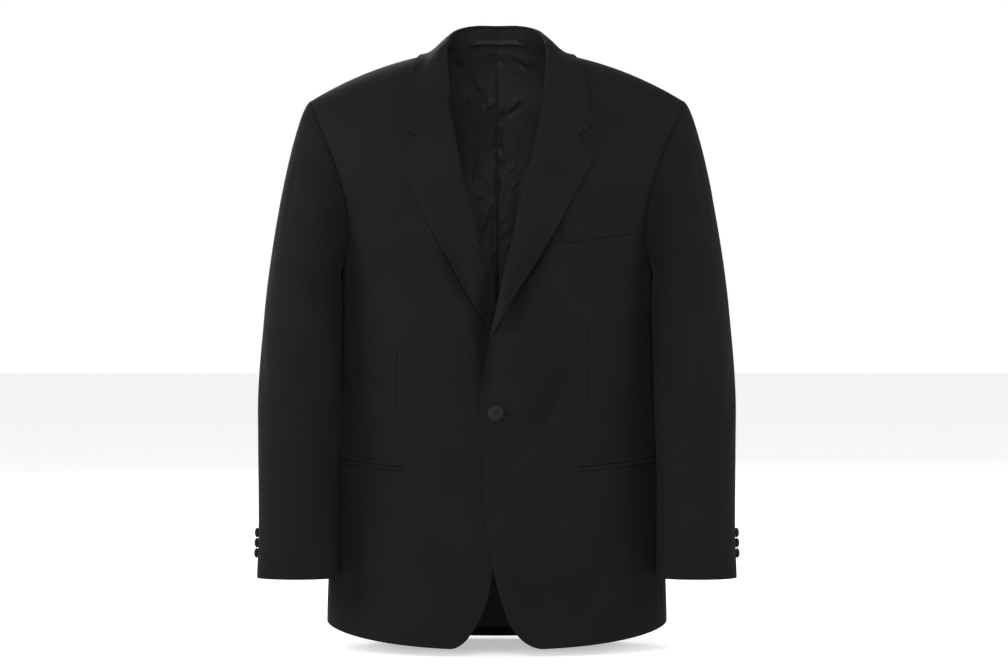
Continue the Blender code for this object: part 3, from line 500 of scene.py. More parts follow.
@dataclass
class Shell:
    """A panel of cloth: a closed wall on a surface, with finer grid lines at its edges.

    Its edges come in the order left, right, bottom, top.
    """

    name: str
    surface: Surface
    edges: tuple[Edge, ...]
    side: Side = Side.LEFT
    thickness: float = 0.0018
    step: float = 0.005
    line: Line | None = None
    line_heights: Pair = (0.0, 0.0)
    seam_dip: float = 0.0005
    seam_width: float = 0.0009
    roundness: float = 0.0013
    rounded_off: float = 0.97
    groove: Pair = (0.0016, 0.0009)
    puff: Pair = (0.0004, 0.005)
    line_fade: float = 0.05
    band: float = 0.03
    samples: tuple[int, int] = (161, 321)
    relief: Callable[[Array, Array, Array], Array] | None = None

    LINE_OFFSETS = (-0.0026, -0.0014, -0.0006, 0.0, 0.0006, 0.0014, 0.0026)

    def targets(self, length: Array, first: Edge, last: Edge, line: Array | None = None) -> Array:
        """Distances of the grid lines from the first edge.

        Args:
            length: length of each row.
            first: kind of the first edge.
            last: kind of the last edge.
            line: distance of an inner line, such as a dart, if there is one.

        Returns:
            An array with a row for each length.
        """
        scale = np.minimum(1, length / (4 * (first.value[-1] + last.value[-1])))[:, None]
        begin = np.array(first.value)[None] * scale
        end = length[:, None] - np.array(last.value[::-1])[None] * scale
        stops = [begin, end]
        if line is not None:
            stops.insert(1, line[:, None] + np.array(self.LINE_OFFSETS)[None])
        parts = [begin]
        for before, after in zip(stops, stops[1:]):
            span = after[:, :1] - before[:, -1:]
            count = max(2, round(float(np.max(span)) / self.step))
            parts.append(before[:, -1:] + span * np.linspace(0, 1, count + 1)[None, 1:-1])
            parts.append(after)
        return np.concatenate(parts, axis=1)

    def shares(self) -> tuple[Array, Array]:
        """Shares along and upwards of each grid point, spaced by real distances."""
        along, upward = (np.linspace(0, 1, count) for count in self.samples)
        dense = self.surface(*np.meshgrid(along, upward))
        rows, columns = arcs(dense, 1), arcs(dense, 0).T
        line = None
        if self.line is not None:
            at = self.line(upward)
            line = np.array([np.interp(u, along, row) for u, row in zip(at, rows)])
        wanted = self.targets(rows[:, -1], *self.edges[:2], line)
        u_lines = np.stack([np.interp(t, row, along) for t, row in zip(wanted, rows)])
        wanted = self.targets(columns[:, -1], *self.edges[2:])
        v_lines = np.stack([np.interp(t, line, upward) for t, line in zip(wanted, columns)])
        u = np.tile(np.linspace(0, 1, u_lines.shape[1]), (v_lines.shape[1], 1))
        v = np.tile(np.linspace(0, 1, v_lines.shape[1])[:, None], (1, u_lines.shape[1]))
        for _ in range(5):
            u = np.stack([np.interp(v[:, i], upward, u_lines[:, i]) for i in range(u.shape[1])], 1)
            v = np.stack([np.interp(u[j], along, v_lines[:, j]) for j in range(v.shape[0])])
        return u, v

    def normals(self, grid: Array) -> Array:
        """Outward directions of a grid with uneven steps."""
        ways = []
        for axis in (1, 0):
            points = np.swapaxes(grid, 0, axis)
            step = np.diff(points, axis=0)
            size = np.maximum(np.linalg.norm(step, axis=-1, keepdims=True), 1e-9)
            inner = step[1:] / size[1:] * size[:-1] + step[:-1] / size[:-1] * size[1:]
            ways.append(np.swapaxes(np.concatenate([step[:1], inner, step[-1:]]), 0, axis))
        return unit(np.cross(ways[0], ways[1]))

    @staticmethod
    def gaps(grid: Array) -> tuple[Array, Array, Array, Array]:
        """How far each grid point is from the first and last column, and from both end rows."""
        along, upward = arcs(grid, 1), arcs(grid, 0)
        return along, along[:, -1:] - along, upward, upward[-1:] - upward

    def walls(self) -> tuple[Array, Array, Array]:
        """The outer grid, the inner grid and the cloth's own coordinates."""
        u, v = self.shares()
        grid = self.surface(u, v)
        normal = self.normals(grid)
        gaps = self.gaps(grid)
        along, upward = gaps[0], gaps[2]
        if self.relief is not None:
            grid = grid + normal * self.relief(grid, along, upward)[..., None]
            normal = self.normals(grid)
        half = np.full(u.shape, self.thickness / 2)
        dip = np.zeros(u.shape)
        for kind, gap in zip(self.edges, gaps):
            if kind is Edge.FOLDED:
                inside = np.clip(gap / self.roundness, 0, 1)
                rounded = np.sqrt(1 - self.rounded_off * (1 - inside) ** 2)
                half = np.minimum(half, self.thickness / 2 * rounded)
            if kind is Edge.SEAM:
                dip = np.maximum(dip, self.seam_dip * np.exp(-((gap / self.seam_width) ** 2)))
        if self.line is not None:
            dip = dip + self.line_dip(grid, along, self.line(v[:, 0]), u)
        middle = grid - normal * (self.thickness / 2)
        outer = middle + normal * (half - dip)[..., None]
        inner = middle - normal * half[..., None]
        return outer, inner, joined(grid[:, :1, 0] + along, grid[:1, :, 2] + upward)

    def line_dip(self, grid: Array, along: Array, line: Array, u: Array) -> Array:
        """Depth of the groove along the inner line, puffed a little on both sides."""
        centre = np.array([np.interp(at, row, gap) for at, row, gap in zip(line, u, along)])
        off = along - centre[:, None]
        low, high = self.line_heights
        heights, fade = grid[..., 2], self.line_fade
        strength = step_up(heights, low, low + fade) * (1 - step_up(heights, high - fade, high))
        lines = (self.groove, self.puff)
        groove, puff = (depth * np.exp(-((off / width) ** 2)) for depth, width in lines)
        return (groove - puff) * strength

    def build(self, outside: Finish, inside: Finish | None = None) -> Piece:
        """Make the panel.

        Args:
            outside: finish of the face and the rim.
            inside: finish of the inner side, where it is another one.

        Returns:
            The panel's object, riding on the body.
        """
        outer, inner, cloth = self.walls()
        if self.side is Side.RIGHT:
            outer, inner, cloth = (grid[:, ::-1] for grid in (outer, inner, cloth))
            outer, inner = outer * self.side.flip, inner * self.side.flip
        rows, columns = outer.shape[:2]
        number = np.arange(rows * columns).reshape(rows, columns)
        quads = joined(number[:-1, :-1], number[:-1, 1:], number[1:, 1:], number[1:, :-1])
        quads = quads.reshape(-1, 4)
        inner_quads = quads[:, ::-1] + rows * columns
        rim = np.concatenate([number[0], number[1:, -1], number[-1, -2::-1], number[-2:0:-1, 0]])
        after = np.roll(rim, -1)
        rim_quads = joined(after, rim, rim + rows * columns, after + rows * columns)
        points = np.concatenate([outer.reshape(-1, 3), inner.reshape(-1, 3)])
        faces = np.concatenate([quads, inner_quads, rim_quads])
        cloth = np.concatenate([cloth.reshape(-1, 2)] * 2)
        if inside is None:
            return solid_piece(self.name, points, faces.tolist(), cloth, outside)
        piece = solid_piece(self.name, points, faces.tolist(), cloth, outside, inside)
        slots = np.zeros(len(faces), int)
        slots[len(quads) : 2 * len(quads)] = ~self.turned_in(outer).reshape(-1)
        piece.data.polygons.foreach_set("material_index", slots)
        return piece

    def turned_in(self, outer: Array) -> Array:
        """Faces of the inner side that show the face's cloth, turned in along folded edges."""
        left, right, bottom, top = self.gaps(outer)
        if self.side is Side.RIGHT:
            left, right = right, left
        near = np.zeros(outer.shape[:2], bool)
        for kind, gap in zip(self.edges, (left, right, bottom, top)):
            if kind is Edge.FOLDED:
                near |= gap < self.band
        return near[:-1, :-1]


CLOTH_MAP = "cloth_map"
HEM_PANEL = (Edge.SEAM, Edge.SEAM, Edge.FOLDED, Edge.SEAM)
FRONT_PANEL = (Edge.FOLDED, Edge.SEAM, Edge.FOLDED, Edge.SEAM)
FOLDED_ROUND = (Edge.FOLDED,) * 4


def solid_piece(
    name: str, points: Array, faces: Sequence[Sequence[int]], cloth: Array, *finishes: Finish
) -> Piece:
    """Make a smooth piece from points and faces.

    Args:
        name: its name.
        points: its points.
        faces: numbers of the points round each face.
        cloth: the cloth's or thread's own coordinates at each point.
        finishes: its finish, and further ones that some of its faces may have.

    Returns:
        The piece, riding on the body.
    """
    mesh = bpy.data.meshes.new(name)
    mesh.from_pydata(points.tolist(), [], faces)
    for finish in finishes:
        mesh.materials.append(finish.material())
    mesh.polygons.foreach_set("use_smooth", np.ones(len(faces), bool))
    corners = np.empty(len(mesh.loops), int)
    mesh.loops.foreach_get("vertex_index", corners)
    mesh.uv_layers.new(name=CLOTH_MAP).data.foreach_set("uv", cloth[corners].reshape(-1))
    mesh.update()
    piece = bpy.data.objects.new(name, mesh)
    bpy.context.scene.collection.objects.link(piece)
    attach(piece, "root")
    return piece


def dress(piece: Piece, node: str, slot: str, **cut: object) -> None:
    """Let a piece of cloth take a node's place, and log it.

    Args:
        piece: the piece.
        node: the node that it replaces.
        slot: its material slot; not used.
    """
    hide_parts(node)
    report(piece)


def report(piece: Piece) -> None:
    """Log how many faces a piece has."""
    LOG.info("%s: %d faces", piece.name, len(piece.data.polygons))


# Finishes


class Nodes:
    """A node tree being filled in."""

    def __init__(self, tree: Tree) -> None:
        """Start with a tree."""
        self.tree = tree

    def set(self, node: Node, **values: object) -> Node:
        """Set a node up.

        Args:
            node: the node.
            values: its settings, or numbers or outputs for its inputs, by names with _ for a space.

        Returns:
            The node.
        """
        for word, value in values.items():
            if hasattr(node, word):
                setattr(node, word, value)
            else:
                self.feed(node.inputs[word.replace("_", " ")], value)
        return node

    def feed(self, socket: Socket, value: object) -> None:
        """Give an input a number, or join an output to it."""
        if isinstance(value, Socket):
            self.tree.links.new(value, socket)
        else:
            socket.default_value = value

    def add(self, kind: str, **values: object) -> Node:
        """Add a node of a type, named without its common start, and set it up."""
        kind = kind if kind.startswith("Node") else f"ShaderNode{kind}"
        return self.set(self.tree.nodes.new(kind), **values)

    def math(self, operation: str, *values: object, kind: str = "Math") -> Socket:
        """Work out one value from others, each a number or an output."""
        node = self.add(kind, operation=operation)
        for socket, value in zip(node.inputs, values):
            self.feed(socket, value)
        return node.outputs["Value" if operation != "MULTIPLY_ADD" else "Vector"]

    def ramp(
        self, source: Socket, low: float = 0.0, high: float = 1.0,
        first: float = 0.0, last: float = 1.0,
    ) -> Socket:
        """Stretch a value so that low becomes first and high becomes last."""
        values = {"From_Min": low, "From_Max": high, "To_Min": first, "To_Max": last}
        return self.add("MapRange", Value=source, **values).outputs["Result"]

    def noise(self, source: Socket, scale: object, detail: float = 2.0) -> Socket:
        """Soft noise over coordinates."""
        return self.add("TexNoise", Vector=source, Scale=scale, Detail=detail).outputs[0]

    def blend(self, share: object, first: object, second: object, way: str = "MIX") -> Socket:
        """A colour from two, each a colour or an output, by a share."""
        node = self.add("Mix", data_type="RGBA", blend_type=way)
        self.feed(node.inputs[0], share)
        for socket, value in zip([s for s in node.inputs if s.type == "RGBA"], (first, second)):
            self.feed(socket, value)
        return [s for s in node.outputs if s.type == "RGBA"][0]


def group_tree(
    name: str, inputs: Sequence[tuple[str, str, float]], outputs: Sequence[str]
) -> tuple[Nodes, Node, Node]:
    """Start a node group with named sockets.

    Args:
        name: its name.
        inputs: name, socket type and value of each input.
        outputs: names of its value outputs.

    Returns:
        Its nodes, its input node and its output node.
    """
    tree = bpy.data.node_groups.new(name, "ShaderNodeTree")
    for word, kind, value in inputs:
        socket = tree.interface.new_socket(word, in_out="INPUT", socket_type=f"NodeSocket{kind}")
        if kind == "Float":
            socket.default_value = value
    for word in outputs:
        tree.interface.new_socket(word, in_out="OUTPUT", socket_type="NodeSocketFloat")
    nodes = Nodes(tree)
    return nodes, nodes.add("NodeGroupInput"), nodes.add("NodeGroupOutput")


WAVER = (900.0, 3.0)
CROSSING = (2.0, 0.35)
FUZZ = (2600.0, 3.0)
WEAVE_HEIGHTS = (-1.2, 2.2)
PATCH_SHADES = (0.3, 0.72)
PATCH_DETAIL = 3.0
PATCH_SHARE, MOTTLING_SHARE = 0.6, 0.4
SPECK_REACH = (0.022, 0.012)


def weave_group() -> Tree:
    """Threads of a woven cloth: slanting ribs, crossed by a finer thread."""
    existing = bpy.data.node_groups.get("Weave")
    if existing:
        return existing
    inputs = (("Coordinates", "Vector", 0.0), ("Pitch", "Float", 0.0006), ("Slant", "Float", 1.0))
    nodes, start, end = group_tree("Weave", inputs, ("Height", "Shade"))
    where, pitch, slant = (start.outputs[word] for word, _, _ in inputs)
    parts = nodes.add("SeparateXYZ", Vector=where)
    slanted = nodes.math("MULTIPLY", parts.outputs["Y"], slant)
    turn = nodes.math("DIVIDE", 2 * math.pi, pitch)
    rib = nodes.math("MULTIPLY", nodes.math("ADD", parts.outputs["X"], slanted), turn)
    waver = nodes.math("MULTIPLY", nodes.noise(where, WAVER[0]), WAVER[1])
    rib = nodes.math("SINE", nodes.math("ADD", rib, waver))
    thread = nodes.math("MULTIPLY", nodes.math("MULTIPLY", parts.outputs["Y"], turn), CROSSING[0])
    thread = nodes.math("MULTIPLY", nodes.math("SINE", thread), CROSSING[1])
    fuzz = nodes.noise(where, *FUZZ)
    height = nodes.math("ADD", nodes.math("ADD", rib, thread), fuzz)
    nodes.set(end, Height=height, Shade=nodes.ramp(height, *WEAVE_HEIGHTS))
    return nodes.tree


def wear_group() -> Tree:
    """Uneven shade of handled cloth: broad patches, fine mottling and a few pale specks."""
    existing = bpy.data.node_groups.get("Uneven shade")
    if existing:
        return existing
    inputs = (("Patches", "Float", 14.0), ("Mottling", "Float", 420.0), ("Specks", "Float", 55.0))
    nodes, start, end = group_tree("Uneven shade", inputs, ("Shade", "Specks"))
    patches, mottling, specks = (start.outputs[word] for word, _, _ in inputs)
    where = nodes.add("TexCoord").outputs["Object"]
    broad = nodes.ramp(nodes.noise(where, patches, PATCH_DETAIL), *PATCH_SHADES)
    broad = nodes.math("MULTIPLY", broad, PATCH_SHARE)
    fine = nodes.math("MULTIPLY", nodes.noise(where, mottling), MOTTLING_SHARE)
    cells = nodes.add("TexVoronoi", feature="F1", Vector=where, Scale=specks)
    dots = nodes.ramp(cells.outputs["Distance"], *SPECK_REACH)
    nodes.set(end, Shade=nodes.math("ADD", broad, fine), Specks=dots)
    return nodes.tree


def new_material(name: str) -> tuple[bpy.types.Material, Nodes, Node]:
    """A material with its nodes and its shader."""
    material = bpy.data.materials.new(name)
    material.use_nodes = True
    return material, Nodes(material.node_tree), material.node_tree.nodes["Principled BSDF"]


@dataclass(frozen=True)
class WovenCloth(Finish):
    """A woven cloth: its two shades, weave, sheen and roughness."""

    name: str = "Black worsted wool"
    dark: Triple = (0.0045, 0.0046, 0.0051)
    light: Triple = (0.0096, 0.0097, 0.0108)
    speck: Triple = (0.025, 0.025, 0.027)
    pitch: float = 0.00062
    slant: float = 0.62
    relief: float = 0.00006
    relief_strength: float = 0.35
    roughness: Pair = (0.72, 0.9)
    specular: float = 0.05
    sheen: float = 0.03
    sheen_roughness: float = 0.45
    sheen_tint: Triple = (0.75, 0.78, 0.88)
    anisotropy: float = 0.0
    thread_share: float = 0.45

    def build(self) -> bpy.types.Material:
        """Make the material from its weave and uneven shade."""
        material, nodes, shader = new_material(self.name)
        where = nodes.add("UVMap", uv_map=CLOTH_MAP).outputs[0]
        group = weave_group()
        weave = nodes.add("Group", node_tree=group, Pitch=self.pitch, Slant=self.slant, Coordinates=where)
        wear = nodes.add("Group", node_tree=wear_group())
        threads = nodes.math("MULTIPLY", weave.outputs["Shade"], self.thread_share)
        uneven = nodes.math("MULTIPLY", wear.outputs["Shade"], 1 - self.thread_share)
        share = nodes.math("ADD", threads, uneven)
        dark, light, speck, tint = (
            (*colour, 1) for colour in (self.dark, self.light, self.speck, self.sheen_tint)
        )
        colour = nodes.blend(share, dark, light)
        specks = nodes.blend(wear.outputs["Specks"], dark, speck)
        relief = {"Strength": self.relief_strength, "Distance": self.relief}
        bump = nodes.add("Bump", Height=weave.outputs["Height"], **relief)
        nodes.set(
            shader,
            Base_Color=nodes.blend(1.0, colour, specks, "LIGHTEN"),
            Roughness=nodes.ramp(share, 0.0, 1.0, *self.roughness),
            Normal=bump.outputs["Normal"],
            Specular_IOR_Level=self.specular,
            Sheen_Weight=self.sheen,
            Sheen_Roughness=self.sheen_roughness,
            Sheen_Tint=tint,
            Anisotropic=self.anisotropy,
        )
        return material


WOOL = WovenCloth()
SATIN = WovenCloth(
    name="Black satin lining",
    dark=(0.0125, 0.0125, 0.0142),
    light=(0.0205, 0.0205, 0.0232),
    speck=(0.0205, 0.0205, 0.0232),
    pitch=0.0003,
    slant=0.2,
    relief=0.00003,
    relief_strength=0.25,
    roughness=(0.56, 0.68),
    specular=0.16,
    sheen=0.03,
    anisotropy=0.4,
)
BUTTON_CLOTH = WovenCloth(
    name="Covered button cloth",
    dark=(0.003, 0.003, 0.0034),
    light=(0.0165, 0.0165, 0.018),
    speck=(0.0165, 0.0165, 0.018),
    pitch=0.0011,
    slant=0.0,
    relief=0.0002,
    relief_strength=0.6,
    roughness=(0.55, 0.75),
    specular=0.18,
)
TAPE = WovenCloth(
    name="Black hanger tape",
    dark=(0.007, 0.007, 0.008),
    light=(0.0125, 0.0125, 0.014),
    pitch=0.0004,
    roughness=(0.5, 0.65),
    specular=0.2,
)
THREAD = WovenCloth(
    name="Black sewing thread",
    dark=(0.0035, 0.0035, 0.0039),
    light=(0.01, 0.01, 0.011),
    speck=(0.01, 0.01, 0.011),
    pitch=0.00035,
    slant=1.0,
    relief=0.00004,
    roughness=(0.5, 0.7),
    specular=0.12,
)
SEAM_GAP = 0.0003


# Body panels


FRONT_EDGES: dict[Side, Table] = {
    Side.LEFT: lengths(
        "height across",
        (-7505, 300), (-7390, 204), (-7075, 72), (-6760, -16), (-6450, -85), (-6130, -123), (-5820, -154),
        (-5500, -173), (-5150, -192), (-4750, -203), (-4432, -205), (-4306, -194), (-4181, -177),
        (-3967, -142), (-3816, -110), (-3652, -85), (-3451, -35), (-3300, -8), (-3199, 16), (-3074, 43),
        (-2923, 76), (-2797, 106), (-2696, 136), (-2492, 186), (-1937, 303), (-1228, 472), (-613, 600),
        (-220, 680), (0, 720),
    ),
    Side.RIGHT: lengths(
        "height across",
        (-7505, 367), (-7291, 231), (-7089, 144), (-6888, 87), (-6699, 55), (-6400, -10), (-6000, -75),
        (-5200, -120), (-4400, -120), (-4100, -90), (-3900, -20), (-3760, 50), (-3680, 77), (-3580, 85),
        (-3464, 84), (-3363, 82), (-3287, 87), (-3212, 97), (-3111, 110), (-3036, 121), (-2960, 136),
        (-2860, 159), (-2759, 184), (-2696, 202), (-2355, 262), (-1654, 420), (-938, 555), (-613, 612),
        (-220, 680), (0, 720),
    ),
}


@dataclass
class Body:
    """Fronts, side panels and back, cut at their seams, with the back's lining."""

    front_seam_turn: float = 150.0
    back_seam_turn: float = 225.0
    front_seam_hem: float = 73.0
    back_seam_hem: float = 116.0
    low_share: float = 0.58
    neck_share: float = 0.64
    break_height: float = -0.366
    setback: float = 0.0056
    setback_heights: Pair = (-0.366, -0.344)
    setback_top: float = -0.012
    setback_less: float = 0.5
    corner_power: float = 1.3
    corner_end: float = 0.06
    back_low_top: float = -0.3
    dart_across: dict[Side, Pair] = field(
        default_factory=lambda: {Side.LEFT: (-0.297, 0.1153), Side.RIGHT: (-0.35, 0.1274)}
    )
    dart_foot: float = -0.52
    neck_heights: Table = lengths(
        "across height",
        (0, 160), (200, 156), (350, 132), (450, 98), (520, 72), (600, 42), (665, 18), (720, 0),
    )
    lining_inset: float = 0.0023
    lining_slack: float = 0.004
    lining_seam: float = 0.0013
    wrinkle_gain: float = 2.2
    lining_hem: float = 0.013
    lining_wall: float = 0.0012
    lining_step: float = 0.0026
    pleat_depth: float = 0.003
    pleat_length: float = 0.62
    pleat_width: float = 0.011
    slack_start: float = 0.012
    slack_end: Pair = (0.72, 0.04)
    slack_across: Pair = (0.15, 0.19)
    seam_hold: float = 0.9

    def side_seam(self, turn: float, hem_angle: float, share: Array) -> Array:
        """(angle, height) up a side panel's seam, from the hem to the armhole."""
        top = FORM.armhole(np.array(turn))
        foot = np.array([hem_angle, float(FORM.hem(hem_angle))])
        return mix(foot, top, np.clip(share, 0, 1)[..., None])

    def seam_and_armhole(self, turn: float, last: float, hem_angle: float, v: Array) -> Array:
        """Up a side panel's seam, and on round the armhole to its last turn."""
        low = self.side_seam(turn, hem_angle, v / self.low_share)
        share = part_way(v, self.low_share, 1)
        return np.where((v > self.low_share)[..., None], FORM.armhole(mix(turn, last, share)), low)

    def climb(self, foot: float, bend: float, top: float, v: Array) -> Array:
        """Heights up a panel's middle edge, closer and closer towards the top."""
        share = part_way(v, self.low_share, 1)
        low = mix(foot, bend, part_way(v, 0, self.low_share))
        return np.where(v > self.low_share, mix(bend, top, np.sin(share * math.pi / 2)), low)

    def front_surface(self, side: Side) -> Surface:
        """A front, from its edge to its side seam and from its hem to the shoulder."""
        table = FRONT_EDGES[side]
        foot_height, foot_across = table.rows[0]
        neck, shoulder = FORM.neck_point, FORM.shoulder_point
        corner = float(FORM.angle(np.array(foot_across), np.array(foot_height)))
        lift = foot_height - float(FORM.hem(corner))

        def left(v: Array) -> Array:
            """The front edge, and above the break the roll line, set back."""
            height = self.climb(foot_height, self.break_height, neck[1], v)
            back = self.setback * step_up(height, *self.setback_heights)
            kept = 1 - self.setback_less * step_up(height, self.setback_top, 0.0)
            across = table.read("across", height) + back * kept
            return FORM.place(across, height)

        def right(v: Array) -> Array:
            """The side seam and the front of the armhole."""
            return self.seam_and_armhole(self.front_seam_turn, 0.0, self.front_seam_hem, v)

        def bottom(u: Array) -> Array:
            """The hem, rising into the rounded corner."""
            angle = mix(corner, self.front_seam_hem, u**self.corner_power)
            height = FORM.hem(angle)
            from_corner = self.corner_end - FORM.across(angle, height)
            rise = np.clip(from_corner / (self.corner_end - foot_across), 0, 1) ** 2
            return joined(angle, height + lift * rise)

        def top(u: Array) -> Array:
            """The shoulder seam."""
            across = mix(neck[0] + self.setback / 2, shoulder[0], u)
            height = FORM.ridge(across)
            return FORM.place(across, height)

        fill = coons(left, right, bottom, top)

        def surface(u: Array, v: Array) -> Array:
            """Points of the front."""
            places = fill(u, v)
            across = FORM.across(places[..., 0], places[..., 1])
            return FORM.on_front(across, FORM.under_ridge(across, places[..., 1], v), side)

        return surface

    def dart_line(self, side: Side) -> Line:
        """Where a front's dart runs, as shares along its rows."""
        surface = self.front_surface(side)
        across = self.dart_across[side][1]
        grid = np.linspace(0, 1, 400)

        def line(v: Array) -> Array:
            """The share at which each row crosses the dart's upright line."""
            rows = surface(*np.meshgrid(grid, v))
            return np.array([np.interp(across, row[:, 0], grid) for row in rows])

        return line

    def build_front(self, side: Side) -> Piece:
        """One front: folded at its edge and hem, sewn at the side, armhole and shoulder."""
        name, heights = f"front_{side.word}_cloth", (self.dart_foot, self.dart_across[side][0])
        dart = {"line": self.dart_line(side), "line_heights": heights}
        return Shell(name, self.front_surface(side), FRONT_PANEL, side, **dart).build(WOOL, SATIN)

    def side_surface(self, side: Side) -> Surface:
        """A side panel, between its two seams, from the hem to the foot of the armhole."""
        angles = (self.front_seam_hem, self.back_seam_hem)
        turns = (self.front_seam_turn, self.back_seam_turn)
        fill = coons(
            left=lambda v: self.side_seam(turns[0], angles[0], v),
            right=lambda v: self.side_seam(turns[1], angles[1], v),
            bottom=lambda u: joined(mix(*angles, u), FORM.hem(mix(*angles, u))),
            top=lambda u: FORM.armhole(mix(*turns, u)),
        )

        def surface(u: Array, v: Array) -> Array:
            """Points of the side panel."""
            places = fill(u, v)
            return FORM.dressed(places[..., 0], places[..., 1], side)

        return surface

    def build_side_panel(self, side: Side) -> Piece:
        """One side panel."""
        name = f"side_panel_{side.word}_cloth"
        return Shell(name, self.side_surface(side), HEM_PANEL, side).build(WOOL, SATIN)

    def back_surface(self, side: Side, inwards: Line | None = None) -> Surface:
        """A back, from its side seam to the centre; or its lining, moved inwards."""
        neck, shoulder = FORM.neck_point, FORM.shoulder_point
        nape = self.neck_heights.rows[0][1]
        rise = 0.0 if inwards is None else self.lining_hem

        def left(v: Array) -> Array:
            """The side seam and the back of the armhole."""
            places = self.seam_and_armhole(self.back_seam_turn, 360.0, self.back_seam_hem, v)
            return places + joined(0 * v, rise * np.clip(1 - v / self.low_share, 0, 1))

        def right(v: Array) -> Array:
            """The centre seam."""
            foot = float(FORM.hem(180.0)) + rise
            height = self.climb(foot, self.back_low_top, nape, v)
            return joined(np.full(v.shape, 180.0), height)

        def bottom(u: Array) -> Array:
            """The hem."""
            angle = mix(self.back_seam_hem, 180.0, u)
            return joined(angle, FORM.hem(angle) + rise)

        def top(u: Array) -> Array:
            """The shoulder seam, then half the neckline."""
            out = mix(shoulder[0], neck[0], part_way(u, 0, self.neck_share))
            near = mix(neck[0], 0.0, part_way(u, self.neck_share, 1))
            across = np.where(u < self.neck_share, out, near)
            height = np.where(
                u < self.neck_share, FORM.ridge(across), self.neck_heights.read("height", near)
            )
            return FORM.place(across, height, True)

        fill = coons(left, right, bottom, top)

        def surface(u: Array, v: Array) -> Array:
            """Points of the back."""
            places = fill(u, v)
            across = FORM.across(places[..., 0], places[..., 1])
            height = FORM.under_ridge(across, places[..., 1], v)
            points = joined(across, FORM.depth(across, height, True), height)
            out = FORM.relief(points, side)
            if inwards is not None:
                out = out - inwards(points)
            return points + FORM.normal(places[..., 0], height) * out[..., None]

        return surface

    def build_back(self, side: Side) -> Piece:
        """One half of the back."""
        name = f"back_{side.word}_cloth"
        return Shell(name, self.back_surface(side), HEM_PANEL, side).build(WOOL)

    def build_lining(self, side: Side) -> Piece:
        """One half of the back's lining, pleated at the centre and wrinkled."""
        folds = LINING_CREASES + FineWrinkles().scattered()

        def inwards(points: Array) -> Array:
            """How far the lining hangs off the back."""
            across, z = points[..., 0], points[..., 2]
            pleat = self.pleat_depth * np.sin(math.pi * np.clip(-z / self.pleat_length, 0, 1)) ** 0.5
            pleat = pleat * np.exp(-across / self.pleat_width) * (side is Side.LEFT)
            wrinkles = sum(crease.rise(across * side.value, z) for crease in folds)
            below = self.neck_heights.read("height", across) - z
            end, fade = self.slack_end
            slack = self.lining_slack * step_up(below, 0.0, self.slack_start) * step_up(end + z, 0.0, fade)
            inside = 1 - step_up(across, *self.slack_across)
            hollow = np.tanh((pleat + wrinkles * self.wrinkle_gain) / self.lining_slack) * 0.5 + 0.5
            hollow = hollow * (1 - self.seam_hold * np.exp(-((across / self.lining_seam) ** 2)))
            return self.lining_inset + 2 * slack * hollow * inside

        name, surface = f"lining_back_{side.word}_satin", self.back_surface(side, inwards)
        return Shell(name, surface, HEM_PANEL, side, self.lining_wall, self.lining_step).build(SATIN)

    def build(self, fastening: Sequence[Piece]) -> None:
        """Build all the body's panels."""
        cuts = {
            "front": (self.build_front, (0.3, 0.775), 0.164),
            "side_panel": (self.build_side_panel, (0.145, 0.475), 0.043),
            "back": (self.build_back, (0.23, 0.775), 0.15),
        }
        for side in Side:
            for word, (build, flat, area) in cuts.items():
                carried = fastening if (word, side) == ("front", Side.LEFT) else ()
                cut = {"flat": flat, "held": "hung", "area": area, "with_pieces": carried}
                dress(build(side), f"{word}_{side.word}", "cloth", **cut)
            cut = {"flat": (0.23, 0.765), "held": "hung", "area": 0.15}
            dress(self.build_lining(side), f"lining_back_{side.word}", "lining", **cut)


LINING_CREASES = creases(
    (-600, 0, -330, 105, 30, 18, 10, 0.5), (-650, -80, -430, -170, 50, -23, 20, 0.5),
    (-120, 75, -10, -100, 22, -21, 10, 0.5), (-60, 70, 130, -90, 24, -21, -10, 0.5),
    (-80, 20, 60, -60, 22, 15, 0, 0.5), (240, -10, 430, -160, 30, -20, 10, 0.5),
    (250, 60, 450, -80, 36, 16, 10, 0.5), (-450, -200, -310, -460, 32, -21, 20, 0.5),
    (-350, -150, -190, -640, 34, -23, -20, 0.5), (-270, -330, -160, -680, 30, -19, 20, 0.6),
    (-195, -680, -20, -530, 28, 18, 10, 0.5), (100, -690, 320, -470, 32, 20, -10, 0.5),
    (130, -750, 360, -560, 40, -16, -10, 0.5), (90, -660, 30, -880, 36, -25, 10, 0.5),
    (40, -800, 50, -1350, 36, -21, -10, 0.5), (85, -1250, 0, -1620, 34, -20, 20, 0.5),
    (10, -1500, 0, -1950, 34, -20, 0, 0.4), (-85, -1880, -240, -2420, 36, 22, -20, 0.5),
    (-30, -1850, 10, -3200, 32, -16, -30, 0.5), (-260, -1300, -320, -1740, 36, -16, 10, 0.5),
    (300, -1200, 220, -2900, 70, -30, 40, 0.5), (-600, -900, -500, -2600, 70, -30, 30, 0.4),
    (580, -700, 480, -2400, 70, -30, -30, 0.5), (850, -1200, 780, -4200, 100, 40, 40, 0.4),
    (-880, -1100, -800, -4300, 100, 42, -40, 0.5), (1150, -3000, 1200, -6400, 110, 44, 50, 0.5),
    (-1180, -2900, -1220, -6500, 110, 42, -50, 0.5), (300, -3300, 360, -6700, 80, 40, 40, 0.6),
    (-320, -3400, -380, -6900, 80, 40, -40, 0.6), (700, -4200, 640, -7000, 80, 36, 30, 0.6),
    (-720, -4400, -660, -7000, 85, 36, -30, 0.6), (1350, -1800, 1280, -3300, 100, 36, 30, 0.5),
    (-1360, -1700, -1280, -3400, 100, 36, -30, 0.5),
)


